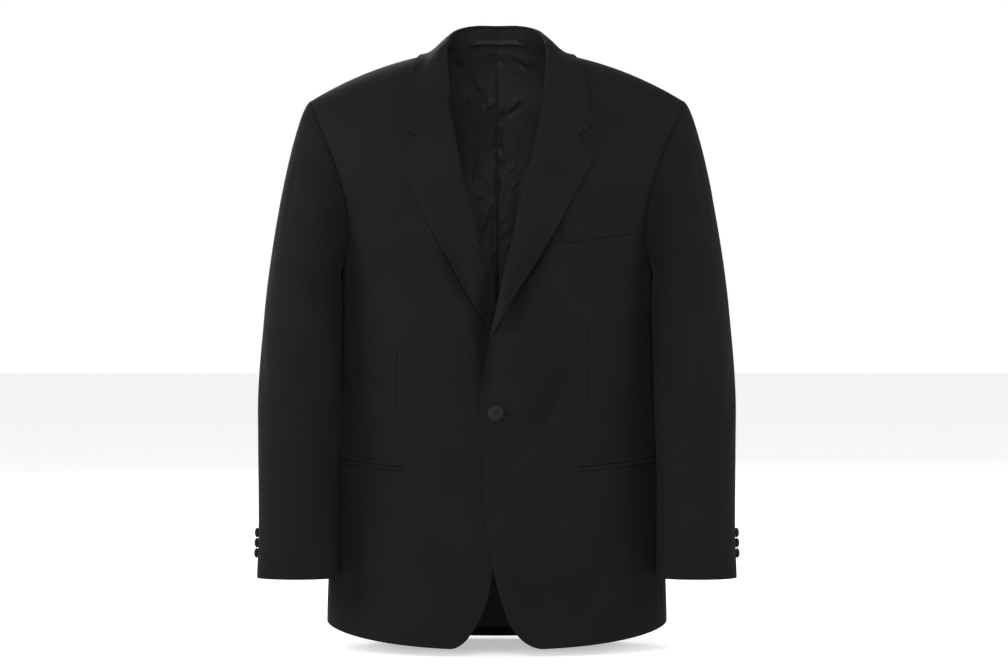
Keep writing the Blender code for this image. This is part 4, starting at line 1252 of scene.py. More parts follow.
@dataclass(frozen=True)
class FineWrinkles:
    """Small uneven wrinkles over the upper lining, falling towards its middle."""

    count: int = 100
    seed: int = 5
    across: float = 0.07
    heights: Pair = (-0.3, 0.01)
    length: Pair = (0.01, 0.034)
    lean: Pair = (0.1, 0.8)
    stray: float = 0.3
    width: Pair = (0.0015, 0.003)
    steepness: Pair = (0.16, 0.38)
    bend: float = 0.003
    peak: Pair = (0.35, 0.65)

    def scattered(self) -> tuple[Crease, ...]:
        """The wrinkles, the same ones each time."""
        chance = np.random.default_rng(self.seed)
        wrinkles = []
        for _ in range(self.count):
            x, z = chance.uniform(-self.across, self.across), chance.uniform(*self.heights)
            length = chance.uniform(*self.length)
            lean = -math.copysign(chance.uniform(*self.lean), x) + chance.uniform(-self.stray, self.stray)
            reach = length / math.hypot(lean, 1)
            width = chance.uniform(*self.width)
            height = width * chance.uniform(*self.steepness) * chance.choice([-1, 1])
            end = (x + lean * reach, z - reach)
            bend = chance.uniform(-self.bend, self.bend)
            wrinkles.append(Crease((x, z), end, width, height, bend, chance.uniform(*self.peak)))
        return tuple(wrinkles)


# Sleeves


SLEEVE_CREASES: dict[Side, tuple[Crease, ...]] = {
    Side.LEFT: creases(
        (600, -3000, 1200, -4200, 100, -28, 60, 0.5), (1300, -3300, 750, -4700, 120, -26, -50, 0.5),
        (200, -3600, 550, -5600, 140, -20, 60, 0.5), (-300, -1800, -200, -4200, 180, -18, 40, 0.4),
        (400, -1200, 600, -2800, 140, -16, 40, 0.4), (-500, -4200, -400, -6400, 160, -18, 50, 0.5),
        (750, -4800, 950, -6000, 120, -16, 40, 0.5),
    ),
    Side.RIGHT: creases(
        (650, -3100, 1150, -4400, 110, -26, 50, 0.5), (1250, -3500, 800, -4800, 110, -24, -60, 0.5),
        (150, -3400, 450, -5200, 150, -20, 60, 0.5), (-350, -2000, -200, -4400, 170, -18, 50, 0.4),
        (450, -1300, 550, -2700, 140, -15, 40, 0.4), (-450, -4400, -400, -6200, 160, -18, 40, 0.5),
        (700, -5000, 1000, -6100, 120, -16, 40, 0.5),
    ),
}


@dataclass
class Sleeve:
    """A two-piece sleeve: its head leaves the armhole, its arm follows the rings."""

    side: Side
    rings: Table = Table(
        "height across forward half_width half_depth",
        (
            (-0.677, 0.25425, 0.075, 0.05175, 0.042), (-0.62, 0.254, 0.072, 0.0502, 0.047),
            (-0.56, 0.25425, 0.068, 0.05025, 0.053), (-0.5, 0.254, 0.061, 0.0515, 0.059),
            (-0.45, 0.2534, 0.053, 0.0528, 0.064), (-0.4, 0.2512, 0.043, 0.053, 0.069),
            (-0.33, 0.246, 0.027, 0.053, 0.075),
        ),
    )
    front_seam: float = 165.0
    back_seam_top: float = 285.0
    back_seam_cuff: float = 340.0
    clearance: Pair = (0.0004, 0.0045)
    start_tuck: tuple[float, ...] = (0.0004, 0.0004, 0.001, 0.0018)
    softening: float = 0.004
    armpit_depth: float = 0.03
    leave: tuple[tuple[float, ...], ...] = (
        (0.05, 0.045, 0.022, 0.045), (0.0, -0.035, -0.004, 0.02), (-0.02, -0.03, 0.012, -0.03),
    )
    enter: tuple[tuple[float, ...], ...] = (
        (0.03, 0.01, 0.0, 0.01), (-0.05, -0.04, -0.01, -0.06), (-0.35, -0.22, -0.05, -0.22),
    )
    fade: Pair = (0.012, 0.03)
    seam_way: Pair = (0.2, 2.0)
    crease_turn: float = 0.001
    button_turn: float = 356.0
    button_size: Pair = (0.0062, 0.0042)
    button_heights: tuple[float, ...] = (-0.62, -0.633, -0.646)

    @staticmethod
    def around(values: Sequence[float], turn: Array) -> Array:
        """A soft blend of four values, for the outer side, the front, the inner side, the back."""
        outer, front, inner, back = values
        angle = np.radians(turn)
        once = (outer - inner) / 2 * np.cos(angle) + (front - back) / 2 * np.sin(angle)
        twice = (outer - front + inner - back) / 4 * np.cos(2 * angle)
        return sum(values) / 4 + once + twice

    def ring_point(self, turn: Array, height: Array) -> Array:
        """Points of the arm's rings."""
        across, forward, half_width, half_depth = (
            self.rings.read(name, height) for name in self.rings.names.split()[1:]
        )
        angle = np.radians(turn)
        x = across + half_width * np.cos(angle)
        return joined(x, -forward - half_depth * np.sin(angle), height + 0 * x)

    def clear_of_torso(self, points: Array) -> Array:
        """Points moved out sideways where they would touch the body under the armhole."""
        x, y, z = np.moveaxis(points, -1, 0)
        foot = float(FORM.armhole_table.column("height").min())
        depth = np.where(y > 0, FORM.sections.read("back", z), FORM.sections.read("front", z))
        inside = 1 - np.clip(np.abs(y) / depth, 0, 1) ** FORM.squareness
        reach = inside ** (1 / FORM.squareness)
        below = step_up(-z, -foot, self.armpit_depth - foot)
        least = FORM.sections.read("half_width", z) * reach + mix(*self.clearance, below)
        eased = (x + least + np.hypot(x - least, self.softening * below)) / 2
        return joined(np.where(z < foot, eased, x), y, z)

    def point(self, turn: Array, along: Array) -> Array:
        """The sleeve's face: along 0 is the armhole, 1 the first whole ring, 2 the cuff."""
        t = np.clip(along, 0, 1)[..., None]
        cuff, first = self.rings.rows[0][0], self.rings.rows[-1][0]
        places = FORM.armhole(turn % 360)
        start = FORM.point(places[..., 0], places[..., 1])
        leave, enter = (
            np.stack([self.around(values, turn) for values in way], -1) for way in (self.leave, self.enter)
        )
        start = start - unit(leave) * self.around(self.start_tuck, turn)[..., None]
        end = self.ring_point(turn, np.full(turn.shape, first))
        cap = (1 + 2 * t) * (1 - t) ** 2 * start + t * (1 - t) ** 2 * leave
        cap = cap + t**2 * (3 - 2 * t) * end - t**2 * (1 - t) * enter
        arm = self.ring_point(turn, mix(first, cuff, np.clip(along - 1, 0, 1)))
        return self.clear_of_torso(np.where(along[..., None] <= 1, cap, arm))

    def seam_turn(self, along: Array) -> Array:
        """Where the back seam lies round the sleeve."""
        return mix(self.back_seam_top, self.back_seam_cuff, step_up(along, *self.seam_way))

    def surface(self, upper: bool) -> Surface:
        """The top sleeve or the under sleeve, from the cuff up."""

        def surface(u: Array, v: Array) -> Array:
            """Points of the sleeve."""
            along = 2 * (1 - v)
            back = self.seam_turn(along)
            if upper:
                turn = mix(self.front_seam, back - 360, u)
            else:
                turn = mix(back, self.front_seam, u)
            return self.point(turn, along)

        return surface

    def relief(self, grid: Array, along: Array, upward: Array) -> Array:
        """Creases of the sleeve, faded towards its edges."""
        x, y, z = np.moveaxis(grid, -1, 0)
        across, forward = (self.rings.read(name, z) for name in ("across", "forward"))
        turn = np.degrees(np.arctan2(-(y + forward), x - across))
        rise = sum(crease.rise(turn * self.crease_turn, z) for crease in SLEEVE_CREASES[self.side])
        gap = np.minimum(along, along[:, -1:] - along)
        ends = np.minimum(upward, upward[-1:] - upward)
        return rise * step_up(gap, 0.0, self.fade[0]) * step_up(ends, 0.0, self.fade[1])

    def build(self) -> None:
        """Build the sleeve's buttons and both its pieces."""
        buttons = self.build_buttons()
        cuts = {"top_sleeve": ((0.3, 0.64), 0.14, buttons), "under_sleeve": ((0.18, 0.5), 0.07, ())}
        for word, (flat, area, carried) in cuts.items():
            node, surface = f"{word}_{self.side.word}", self.surface(word == "top_sleeve")
            shell = Shell(f"{node}_cloth", surface, HEM_PANEL, self.side, step=0.004, relief=self.relief)
            cut = {"flat": flat, "held": "hung", "area": area, "with_pieces": carried}
            dress(shell.build(WOOL, SATIN), node, "cloth", **cut)

    def build_buttons(self) -> list[Piece]:
        """The three buttons near the back seam."""
        buttons = []
        for number, height in enumerate(self.button_heights, 1):
            turns = np.array([-1.0, 0.0, 1.0]) + self.button_turn
            before, centre, after = self.ring_point(turns, np.full(3, height))
            outward = np.array([before[1] - after[1], after[0] - before[0], 0.0])
            name, places = f"sleeve_button_{self.side.word}_{number}", (centre, outward)
            seat = (place * self.side.flip for place in places)
            buttons.append(CoveredButton(name, *self.button_size, *seat).build())
        return buttons


# Lapels and collar


@dataclass(frozen=True)
class FoldedEdge:
    """The path over a fold and down its leaf."""

    radius: float = 0.0024
    rise: float = 0.0006
    tuck: float = 0.0008
    belly: float = 0.0028
    belly_leaf: float = 0.06
    belly_power: float = 0.6
    sag_power: float = 1.8
    tuck_share: float = 0.04
    leaf_share: float = 0.3

    def path(
        self, share: Array, leaf: Array, belly: Array, sag: Array, scale: Array = 1.0
    ) -> tuple[Array, Array]:
        """(along, off) over the fold and down the leaf.

        Args:
            share: 0 at the tucked end, 1 at the leaf's edge.
            leaf: length of the leaf.
            belly: how far it bulges near its fold.
            sag: how far it dips further down.
            scale: how open the fold is, under 1 where it is pressed flat.

        Returns:
            Distance along the leaf, and distance off the cloth.
        """
        turn = part_way(share, self.tuck_share, self.leaf_share)
        angle = -math.pi / 2 - math.pi * turn
        down = part_way(share, self.leaf_share, 1)
        tucked = self.tuck * np.clip(1 - share / self.tuck_share, 0, 1)
        bulge = belly * np.sin(math.pi * down**self.belly_power)
        bulge = bulge * np.clip(leaf / self.belly_leaf, 0, 1)
        dip = sag * np.sin(math.pi * down**self.sag_power)
        along = tucked + scale * self.radius * np.cos(angle) + leaf * down
        middle = self.rise + (1 - scale) * self.radius
        return along, middle + scale * self.radius * np.sin(angle) + bulge - dip


FOLD = FoldedEdge()


LAPEL_OUTLINES: dict[Side, Table] = {
    Side.LEFT: lengths(
        "height across",
        (-3740, -73), (-3665, -45), (-3564, 2), (-3451, 62), (-3313, 142), (-3187, 222), (-3099, 280),
        (-2998, 343), (-2797, 472), (-2596, 588), (-2394, 702), (-2193, 815), (-1992, 922), (-1790, 1043),
        (-1481, 1210),
    ),
    Side.RIGHT: lengths(
        "height across",
        (-3690, 90), (-3615, 112), (-3552, 136), (-3451, 184), (-3388, 220), (-3287, 283), (-3199, 339),
        (-3099, 400), (-2998, 459), (-2797, 565), (-2596, 672), (-2394, 783), (-2193, 893), (-1992, 999),
        (-1790, 1103), (-1481, 1211),
    ),
}


@dataclass
class Lapel:
    """A notch lapel, folded back along the roll line."""

    side: Side
    body: Body
    gorge_top: float = -0.0613
    notch: Pair = (0.102, -0.1164)
    notch_rows: Pair = (0.5, 1.0)
    flare_rise: Pair = (-0.372, -0.325)
    flare_fall: Pair = (-0.275, -0.165)
    flare_kept: float = 0.15
    flare: dict[Side, float] = field(default_factory=lambda: {Side.LEFT: 0.011, Side.RIGHT: 0.0065})
    foot_fold: float = 0.3
    foot_reach: float = 0.05
    sink_share: float = 0.05

    def gorge(self, across: Array, tip: Pair) -> Array:
        """Height of the seam of lapel and collar: to the notch, and on from it to a tip."""
        start = float(FRONT_EDGES[Side.LEFT].rows[-3][1])
        slope = (self.notch[1] - self.gorge_top) / (self.notch[0] - start)
        beyond = (tip[1] - self.notch[1]) / (tip[0] - self.notch[0])
        past = np.maximum(across - self.notch[0], 0)
        return self.gorge_top + slope * (across - start) + (beyond - slope) * past

    def surface(self) -> Surface:
        """The lapel over shares of its path and of its height."""
        roll, outline = FRONT_EDGES[self.side], LAPEL_OUTLINES[self.side]
        foot, top = outline.rows[0][0], outline.rows[-1][0]
        tip = (outline.rows[-1][1], top)

        def place(u: Array, v: Array) -> tuple[Array, Array, Array]:
            """Distance from the middle, height and distance off the front."""
            inner_height, outer_height = mix(foot, self.gorge_top, v), mix(foot, top, v)
            scale = mix(self.foot_fold, 1.0, step_up(inner_height, foot, foot + self.foot_reach))
            inner = roll.read("across", inner_height) + FOLD.radius * scale
            outer = outline.read("across", outer_height)
            length = np.hypot(outer - inner, outer_height - inner_height)
            along, off = FOLD.path(u, length, FOLD.belly, 0.0, scale)
            share = along / length
            height = mix(inner_height, outer_height, share)
            fall = (1 - self.flare_kept) * step_up(height, *self.flare_fall)
            flare = step_up(height, *self.flare_rise) * (1 - fall)
            sunk = (FOLD.rise + FOLD.radius - SEAM_GAP) * (1 - step_up(v, 0.0, self.sink_share))
            off = off + self.flare[self.side] * flare * np.clip(share, 0, 1) ** 1.3 - sunk
            return mix(inner, outer, share), height, off

        def surface(u: Array, v: Array) -> Array:
            """Points of the lapel."""
            x, z, off = place(u, v)
            x_top, z_top, _ = place(u, np.ones_like(v))
            notched = self.gorge(x_top, tip) - z_top
            return FORM.on_front(x, z + notched * step_up(v, *self.notch_rows), self.side, off)

        return surface

    def build(self) -> None:
        """Build the lapel."""
        node, edges = f"lapel_{self.side.word}", (Edge.ROLL, Edge.FOLDED, Edge.FOLDED, Edge.FOLDED)
        fine = {"step": 0.003, "samples": (241, 241)}
        piece = Shell(f"{node}_cloth", self.surface(), edges, self.side, **fine).build(WOOL)
        dress(piece, node, "cloth", flat=(0.095, 0.3), held="folded", area=0.016)


@dataclass
class Collar:
    """The collar: a stand round the neck and a fall folded over it."""

    lapel: Lapel
    tip: Pair = (0.122, -0.1014)
    rest: float = 0.0028
    notch_reach: float = 0.5
    flat_reach: float = 0.42
    sag: float = 0.0042
    stand_start: float = 0.25
    stand_foot_out: float = 0.0034
    stand_foot_up: float = 0.0006
    loop_reach: float = 0.215
    loop_levels: Pair = (0.06, 0.31)
    loop_off: float = 0.0034
    wall: float = 0.0018
    foot_shift: Array = field(default_factory=lambda: np.array([0.0, -0.0048, -0.0036]))
    belly_end: Pair = (0.05, 0.5)
    sag_start: Pair = (0.15, 0.5)
    sag_end: Pair = (0.6, 0.97)
    turn_reach: float = 0.01
    foot_behind: Pair = (0.5, 0.64)
    half: Table = Table(
        "share crest_x crest_y crest_z foot_x foot_z behind",
        (
            (0.0, 0.06, -0.0955, -0.0613, 0.122, -0.1014, 0),
            (0.2, 0.0645, -0.058, -0.0165, 0.115, -0.06, 0),
            (0.37, 0.0652, -0.028, 0.0105, 0.1095, -0.027, 0),
            (0.52, 0.061, 0.004, 0.0272, 0.1, -0.0052, 0),
            (0.68, 0.052, 0.034, 0.0362, 0.083, -0.009, 1),
            (0.84, 0.032, 0.052, 0.0398, 0.047, -0.0125, 1),
            (1.0, 0.0, 0.058, 0.0405, 0.0, -0.013, 1),
        ),
    )
    neck_seam: Table = Table(
        "share across height behind",
        (
            (0.0, 0.06, -0.0613, 0), (0.25, 0.068, -0.022, 0), (0.52, 0.072, 0.0, 0),
            (0.6, 0.0665, 0.0018, 1), (0.68, 0.058, 0.005, 1), (0.76, 0.047, 0.0091, 1),
            (0.84, 0.035, 0.0132, 1), (0.92, 0.018, 0.0157, 1), (1.0, 0.0, 0.016, 1),
        ),
    )

    def crest(self, share: Array) -> Array:
        """The top of the fold, at shares from -1 on the right to 1 on the left."""
        half = np.stack([self.half.read(f"crest_{k}", 1 - np.abs(share)) for k in "xyz"], -1)
        half[..., 0] *= np.sign(share)
        return half

    def foot(self, share: Array) -> Array:
        """The edge of the fall."""
        half = self.half
        x, z, behind = half.column("foot_x"), half.column("foot_z"), half.column("behind") > 0
        angle = np.where(behind, FORM.angle(x, z, True), FORM.angle(x, z))
        line = joined(x, FORM.depth(x, z, behind), z) + FORM.normal(angle, z) * self.rest
        line[-1, 0] = 0.0
        away = 1 - np.abs(share)
        points = np.stack([smooth(half.column("share"), line[:, k], away) for k in range(3)], -1)
        points[..., 0] *= np.sign(share)
        return points

    def frame(self, share: Array, step: float = 0.004) -> tuple[Array, Array, Array]:
        """The fold's centre line with its downward and outward directions."""
        crest, foot = self.crest(share), self.foot(share)
        high, low = np.minimum(share + step, 1), np.maximum(share - step, -1)
        tangent = unit(self.crest(high) - self.crest(low))
        down = foot - crest
        down = unit(down - tangent * (down * tangent).sum(-1, keepdims=True))
        return crest, down, np.cross(tangent, down)

    @staticmethod
    def resting(points: Array, off: Array) -> Array:
        """Points brought in front of, or behind, the fronts and back that they lie on."""
        x, y, z = np.moveaxis(points, -1, 0)
        below = FORM.ridge(x) > z
        front, back = FORM.depth(x, z, False) - off, FORM.depth(x, z, True) + off
        middle = mix(*FORM.seam_forward, FORM.shoulder_share(x))
        nearest = np.where(y < middle, np.minimum(y, front), np.maximum(y, back))
        return joined(x, np.where(below, nearest, y), z)

    def unshaped(self, path: Array, share: Array) -> tuple[Array, Array, Array]:
        """Points before the notch is shaped, the same laid flat, and their distance off."""
        crest, down, out = self.frame(share)
        foot = self.foot(share)
        half = FOLD.rise + FOLD.radius
        centre = crest + down * FOLD.radius - out * half
        leaf = np.linalg.norm(foot - centre, axis=-1)
        to_foot = (foot - centre) / leaf[..., None]
        away = 1 - np.abs(share)
        belly = FOLD.belly * (1 - step_up(away, *self.belly_end))
        sag = self.sag * step_up(away, *self.sag_start) * (1 - step_up(away, *self.sag_end))
        along, off = FOLD.path(path, leaf, belly, sag)
        way = mix(down, to_foot, step_up(along, 0.0, self.turn_reach)[..., None])
        flat = centre + way * along[..., None]
        rest = mix(half, self.rest, np.clip(along / leaf, 0, 1))
        return flat + out * (off - rest)[..., None], flat, off

    def fall(self, u: Array, v: Array) -> Array:
        """The fall, from its edge up and over the fold, round the neck."""
        path, share = 1 - u, 2 * v - 1
        away = 1 - np.abs(share)
        point, flat, off = self.unshaped(path, share)
        _, end, _ = self.unshaped(path, np.ones_like(share))
        notched = self.lapel.gorge(np.abs(end[..., 0]), self.tip) - end[..., 2]
        notched = notched * (1 - step_up(away, 0.0, self.notch_reach))
        point[..., 2] += notched
        point = self.resting(point, off)
        across = np.abs(flat[..., 0])
        height = np.minimum(flat[..., 2] + notched, FORM.ridge(across) - SEAM_GAP)
        laid = FORM.on_front(across, height, Side.RIGHT, off)
        laid[..., 0] *= np.where(point[..., 0] < 0, -1, 1)
        return mix(point, laid, (1 - step_up(away, 0.0, self.flat_reach))[..., None])

    def stand(self, u: Array, v: Array) -> Array:
        """The stand, from the neckline up to the fold, its face towards the neck."""
        share = mix(self.stand_start - 1, 1 - self.stand_start, v)
        crest, down, out = self.frame(share)
        below = FOLD.radius + FOLD.tuck + SEAM_GAP
        inside = FOLD.rise + 2 * FOLD.radius - self.wall
        top = crest + down * below - out * inside
        away = 1 - np.abs(share)
        across, height = (self.neck_seam.read(name, away) for name in ("across", "height"))
        knots = self.neck_seam
        behind = knots.column("behind") > 0
        depth = FORM.depth(knots.column("across"), knots.column("height"), behind)
        forward = smooth(knots.column("share"), depth, away)
        foot = joined(across * -np.sign(-share), forward, height)
        behind_neck = step_up(away, *self.foot_behind)[..., None]
        in_front = [0, 0, self.stand_foot_up] + out * self.stand_foot_out
        return mix(foot + mix(in_front, self.foot_shift, behind_neck), top, u[..., None])

    def build(self) -> None:
        """Build the fall, the stand and the hanger loop."""
        rolled = (Edge.FOLDED, Edge.ROLL, Edge.FOLDED, Edge.FOLDED)
        sunk = (Edge.SEAM, Edge.HIDDEN, Edge.HIDDEN, Edge.HIDDEN)
        fine = {"step": 0.003, "samples": (241, 481)}
        fall = Shell("collar_fall_cloth", self.fall, rolled, **fine).build(WOOL)
        fine["samples"] = (41, 241)
        stand = Shell("collar_stand_cloth", self.stand, sunk, **fine).build(WOOL)
        thin = {"thickness": 0.0012, "step": 0.0015, "roundness": 0.0006}
        loop = Shell("hanger_loop_tape", self.loop, FOLDED_ROUND, **thin).build(TAPE)
        dress(fall, "collar_fall", "cloth", flat=(0.085, 0.46), held="folded", area=0.026)
        dress(stand, "collar_stand", "cloth", flat=(0.035, 0.3), held="folded", area=0.009)
        dress(loop, "hanger_loop", "lining", flat=(0.062, 0.0124), held="folded", area=0.00075)

    def loop(self, u: Array, v: Array) -> Array:
        """The hanger loop, on the neck side of the stand."""
        place = 0.5 + (u - 0.5) * self.loop_reach
        share = mix(self.stand_start - 1, 1 - self.stand_start, place)
        _, _, out = self.frame(share)
        return self.stand(mix(*self.loop_levels, v), place) - out * self.loop_off


# Trims and buttons


@dataclass
class Pockets:
    """The chest welt and the two jets of each hip pocket."""

    welt_across: Pair = (0.0835, 0.17)
    welt_foot: Pair = (-0.2525, -0.2385)
    welt_height: float = 0.0262
    jet_start: dict[Side, float] = field(default_factory=lambda: {Side.LEFT: 0.1052, Side.RIGHT: 0.1198})
    jet_length: float = 0.15
    jet_turns: Pair = (95.0, 0.2)
    jet_height: float = 0.0048
    mouth: float = -0.5346
    mouth_rise: float = 0.085
    slit: float = 0.0009
    wall: float = 0.0019
    stitch_inset: float = 0.0026
    stitch_pitch: float = 0.0024
    stitch_share: float = 0.62
    stitch_start: float = 0.0012
    stitch_end: float = 0.002
    stitch_off: float = 0.0004
    stitch_radius: float = 0.00022

    def welt(self, u: Array, v: Array) -> Array:
        """The chest welt on the left front."""
        across = mix(*self.welt_across, u)
        height = mix(*self.welt_foot, u) + self.welt_height * v
        return FORM.on_front(across, height, Side.LEFT, np.array(SEAM_GAP + self.wall))

    def jet_surface(self, side: Side, upper: bool) -> Surface:
        """One jet, measured along the cloth from its front end round the side."""
        angles = np.arange(float(FORM.angle(self.jet_start[side], self.mouth)), *self.jet_turns)
        line = FORM.point(angles, np.full(len(angles), self.mouth))
        length = np.concatenate([[0], np.cumsum(np.linalg.norm(np.diff(line, axis=0), axis=1))])

        def surface(u: Array, v: Array) -> Array:
            """Points of the jet."""
            along = self.jet_length * u
            angle = np.interp(along, length, angles)
            middle = self.mouth + self.mouth_rise * along
            foot = middle + self.slit / 2 if upper else middle - self.slit / 2 - self.jet_height
            height = foot + self.jet_height * v
            points = FORM.dressed(angle, height, side)
            return points + FORM.normal(angle, height) * (SEAM_GAP + self.wall)

        return surface

    def welt_stitches(self) -> list[Stitch]:
        """A run of stitches beside each end of the welt."""
        lines = []
        for end, inwards in zip(self.welt_across, (1, -1)):
            across = end + inwards * self.stitch_inset
            share = (across - self.welt_across[0]) / (self.welt_across[1] - self.welt_across[0])
            foot = mix(*self.welt_foot, share)
            for rise in np.arange(self.stitch_start, self.welt_height - self.stitch_end, self.stitch_pitch):
                top = foot + rise + self.stitch_pitch * self.stitch_share
                lines.append((across, foot + rise, across, top))
        return lines

    def build(self) -> None:
        """Build the welt and the jets."""
        off, radius = self.wall + self.stitch_off, self.stitch_radius
        ends = Stitches("welt_thread", Side.LEFT, self.welt_stitches(), off, radius).build()
        fine = {"thickness": self.wall, "step": 0.003}
        welt = Shell("chest_welt_cloth", self.welt, FOLDED_ROUND, **fine).build(WOOL)
        laid = {"held": "laid", "rests_on": ["front_left_cloth"], "with_pieces": [ends]}
        dress(welt, "chest_welt", "cloth", flat=(0.09, 0.0262), **laid)
        fine["step"] = 0.0025
        for side in Side:
            laid = {"held": "laid", "rests_on": [f"front_{side.word}_cloth"]}
            for word in ("upper", "lower"):
                node, surface = f"pocket_jet_{word}_{side.word}", self.jet_surface(side, word == "upper")
                jet = Shell(f"{node}_cloth", surface, FOLDED_ROUND, side, **fine).build(WOOL)
                dress(jet, node, "cloth", flat=(0.15, 0.01), area=0.00075, **laid)


@dataclass
class CoveredButton:
    """A button covered with cloth: a plain rim round a crown of small petals."""

    node: str
    radius: float
    height: float
    centre: Array
    outward: Array
    sides: int = 72
    rim: tuple[Pair, ...] = (
        (0.7, 0.0), (0.88, 0.04), (0.97, 0.16), (1.0, 0.34), (0.99, 0.52), (0.955, 0.63),
        (0.915, 0.62), (0.885, 0.44), (0.86, 0.42),
    )
    crown_rings: int = 22
    crown_reach: Pair = (0.84, 0.03)
    dome: tuple[float, ...] = (0.58, 0.42, 0.9)
    petal_depth: Pair = (0.55, 0.45)
    petals: int = 9
    petal_rings: float = 0.27
    petal_rise: float = 0.12

    def rings(self) -> tuple[Array, Array, Array]:
        """Reach, angle and rise of each point, ring by ring."""
        angle = np.arange(self.sides) * 2 * math.pi / self.sides
        rows = [np.stack([np.full(self.sides, r), angle, np.full(self.sides, z)]) for r, z in self.rim]
        for reach in np.linspace(*self.crown_reach, self.crown_rings):
            base, crown, width = self.dome
            dome = base + crown * math.sqrt(1 - (reach / width) ** 2)
            turn = angle * self.petals + 3 * math.pi * round(reach / self.petal_rings)
            plain_part, waved = self.petal_depth
            ripple = math.cos(2 * math.pi * reach / self.petal_rings) * (plain_part + waved * np.cos(turn))
            rows.append(np.stack([np.full(self.sides, reach), angle, dome - self.petal_rise * ripple]))
        return tuple(np.stack(rows, 1))

    def build(self) -> Piece:
        """Make the button on its flat back, facing outward."""
        reach, angle, rise = self.rings()
        rows, count = reach.shape
        x, y = self.radius * reach * np.cos(angle), self.radius * reach * np.sin(angle)
        points = joined(x, y, self.height * rise).reshape(-1, 3)
        crown = self.height * float(rise[-1].mean())
        points = np.concatenate([points, [[0, 0, 0], [0, 0, crown]]])
        cloth = joined(reach * self.radius, angle * self.radius / 2).reshape(-1, 2)
        cloth = np.concatenate([cloth, np.zeros((2, 2))])
        number = np.arange(rows * count).reshape(rows, count)
        after = np.roll(number, -1, axis=1)
        faces = joined(number[:-1], after[:-1], after[1:], number[1:]).reshape(-1, 4).tolist()
        back, top = rows * count, rows * count + 1
        faces += [[back, int(k), int(i)] for i, k in zip(number[0], after[0])]
        faces += [[top, int(i), int(k)] for i, k in zip(number[-1], after[-1])]
        facing = unit(np.asarray(self.outward, float))
        turned = np.array(Vector(facing).to_track_quat("Z", "Y").to_matrix())
        seated = points @ turned.T + np.asarray(self.centre) + facing * SEAM_GAP * 2
        piece = solid_piece(f"{self.node}_covered", seated, faces, cloth, BUTTON_CLOTH)
        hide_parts(self.node)
        report(piece)
        return piece


@dataclass
class Stitches:
    """Stitches of thread raised on a front: each is a bent bead with rounded ends."""

    name: str
    side: Side
    lines: Sequence[Stitch]
    off: float = 0.0002
    radius: float = 0.0003
    arch: float = 0.00025
    sides: int = 6
    profile: tuple[float, ...] = (0.35, 0.85, 1.0, 1.0, 0.85, 0.35)

    def bead(self, line: Stitch) -> tuple[Array, Array]:
        """Points of one stitch, ring by ring, and their coordinates on the thread."""
        share = np.linspace(0, 1, len(self.profile))
        across, height = mix(line[0], line[2], share), mix(line[1], line[3], share)
        bow = self.off + self.arch * np.sin(math.pi * share)
        centre = FORM.on_front(across, height, self.side, bow)
        outward = FORM.normal(FORM.angle(across, height), height)
        beside = np.cross(unit(centre[-1] - centre[0]), outward)
        turn = np.arange(self.sides) * 2 * math.pi / self.sides
        across, up = np.cos(turn)[None, :, None], np.sin(turn)[None, :, None]
        spread = across * outward[:, None] + up * beside[:, None]
        points = centre[:, None] + spread * self.radius * np.array(self.profile)[:, None, None]
        length = float(np.linalg.norm(centre[-1] - centre[0]))
        thread = np.stack(np.broadcast_arrays(share[:, None] * length, turn[None] * self.radius), -1)
        return points.reshape(-1, 3) * self.side.flip, thread.reshape(-1, 2)

    def build(self) -> Piece:
        """Make all the stitches as one piece."""
        rows, sides = len(self.profile), self.sides
        number = np.arange(rows * sides).reshape(rows, sides)
        after = np.roll(number, -1, axis=1)
        one = joined(number[:-1], number[1:], after[1:], after[:-1]).reshape(-1, 4).tolist()
        one += [number[0].tolist(), number[-1, ::-1].tolist()]
        beads = [self.bead(line) for line in self.lines]
        faces = [
            [corner + rows * sides * index for corner in face]
            for index in range(len(beads))
            for face in one
        ]
        points = np.concatenate([points for points, _ in beads])
        thread = np.concatenate([thread for _, thread in beads])
        piece = solid_piece(self.name, points, faces, thread, THREAD)
        report(piece)
        return piece


@dataclass
class Fastening:
    """The front button, and its buttonhole bound with stitches."""

    across: float = -0.0014
    height: float = -0.4667
    radius: float = 0.0103
    thickness: float = 0.0048
    hole: Pair = (0.0092, 0.0182)
    hole_height: float = -0.467
    lip: float = 0.0005
    stitch: float = 0.002
    pitch: float = 0.00075
    bar: int = 5
    bar_share: float = 0.7
    slant: float = 0.0002

    def hole_stitches(self) -> list[Stitch]:
        """Stitches above and below the slit, and a bar across its end."""
        lines = []
        for across in np.arange(*self.hole, self.pitch):
            for sign in (1, -1):
                near = self.hole_height + sign * self.lip
                lines.append((across, near, across + self.slant, near + sign * self.stitch))
        reach = self.lip + self.stitch
        for index in range(self.bar):
            across = self.hole[1] + index * self.pitch * self.bar_share
            lines.append((across, self.hole_height - reach, across, self.hole_height + reach))
        slit = (self.hole[0], self.hole_height, self.hole[1], self.hole_height)
        return lines + [slit]

    def build(self) -> list[Piece]:
        """Build the button and the buttonhole."""
        across, height = np.array(self.across), np.array(self.height)
        centre = FORM.on_front(across, height, Side.LEFT)
        outward = FORM.normal(FORM.angle(across, height), height)
        button = CoveredButton("front_button", self.radius, self.thickness, centre, outward).build()
        hole = Stitches("buttonhole_thread", Side.LEFT, self.hole_stitches()).build()
        return [button, hole]


# Stage


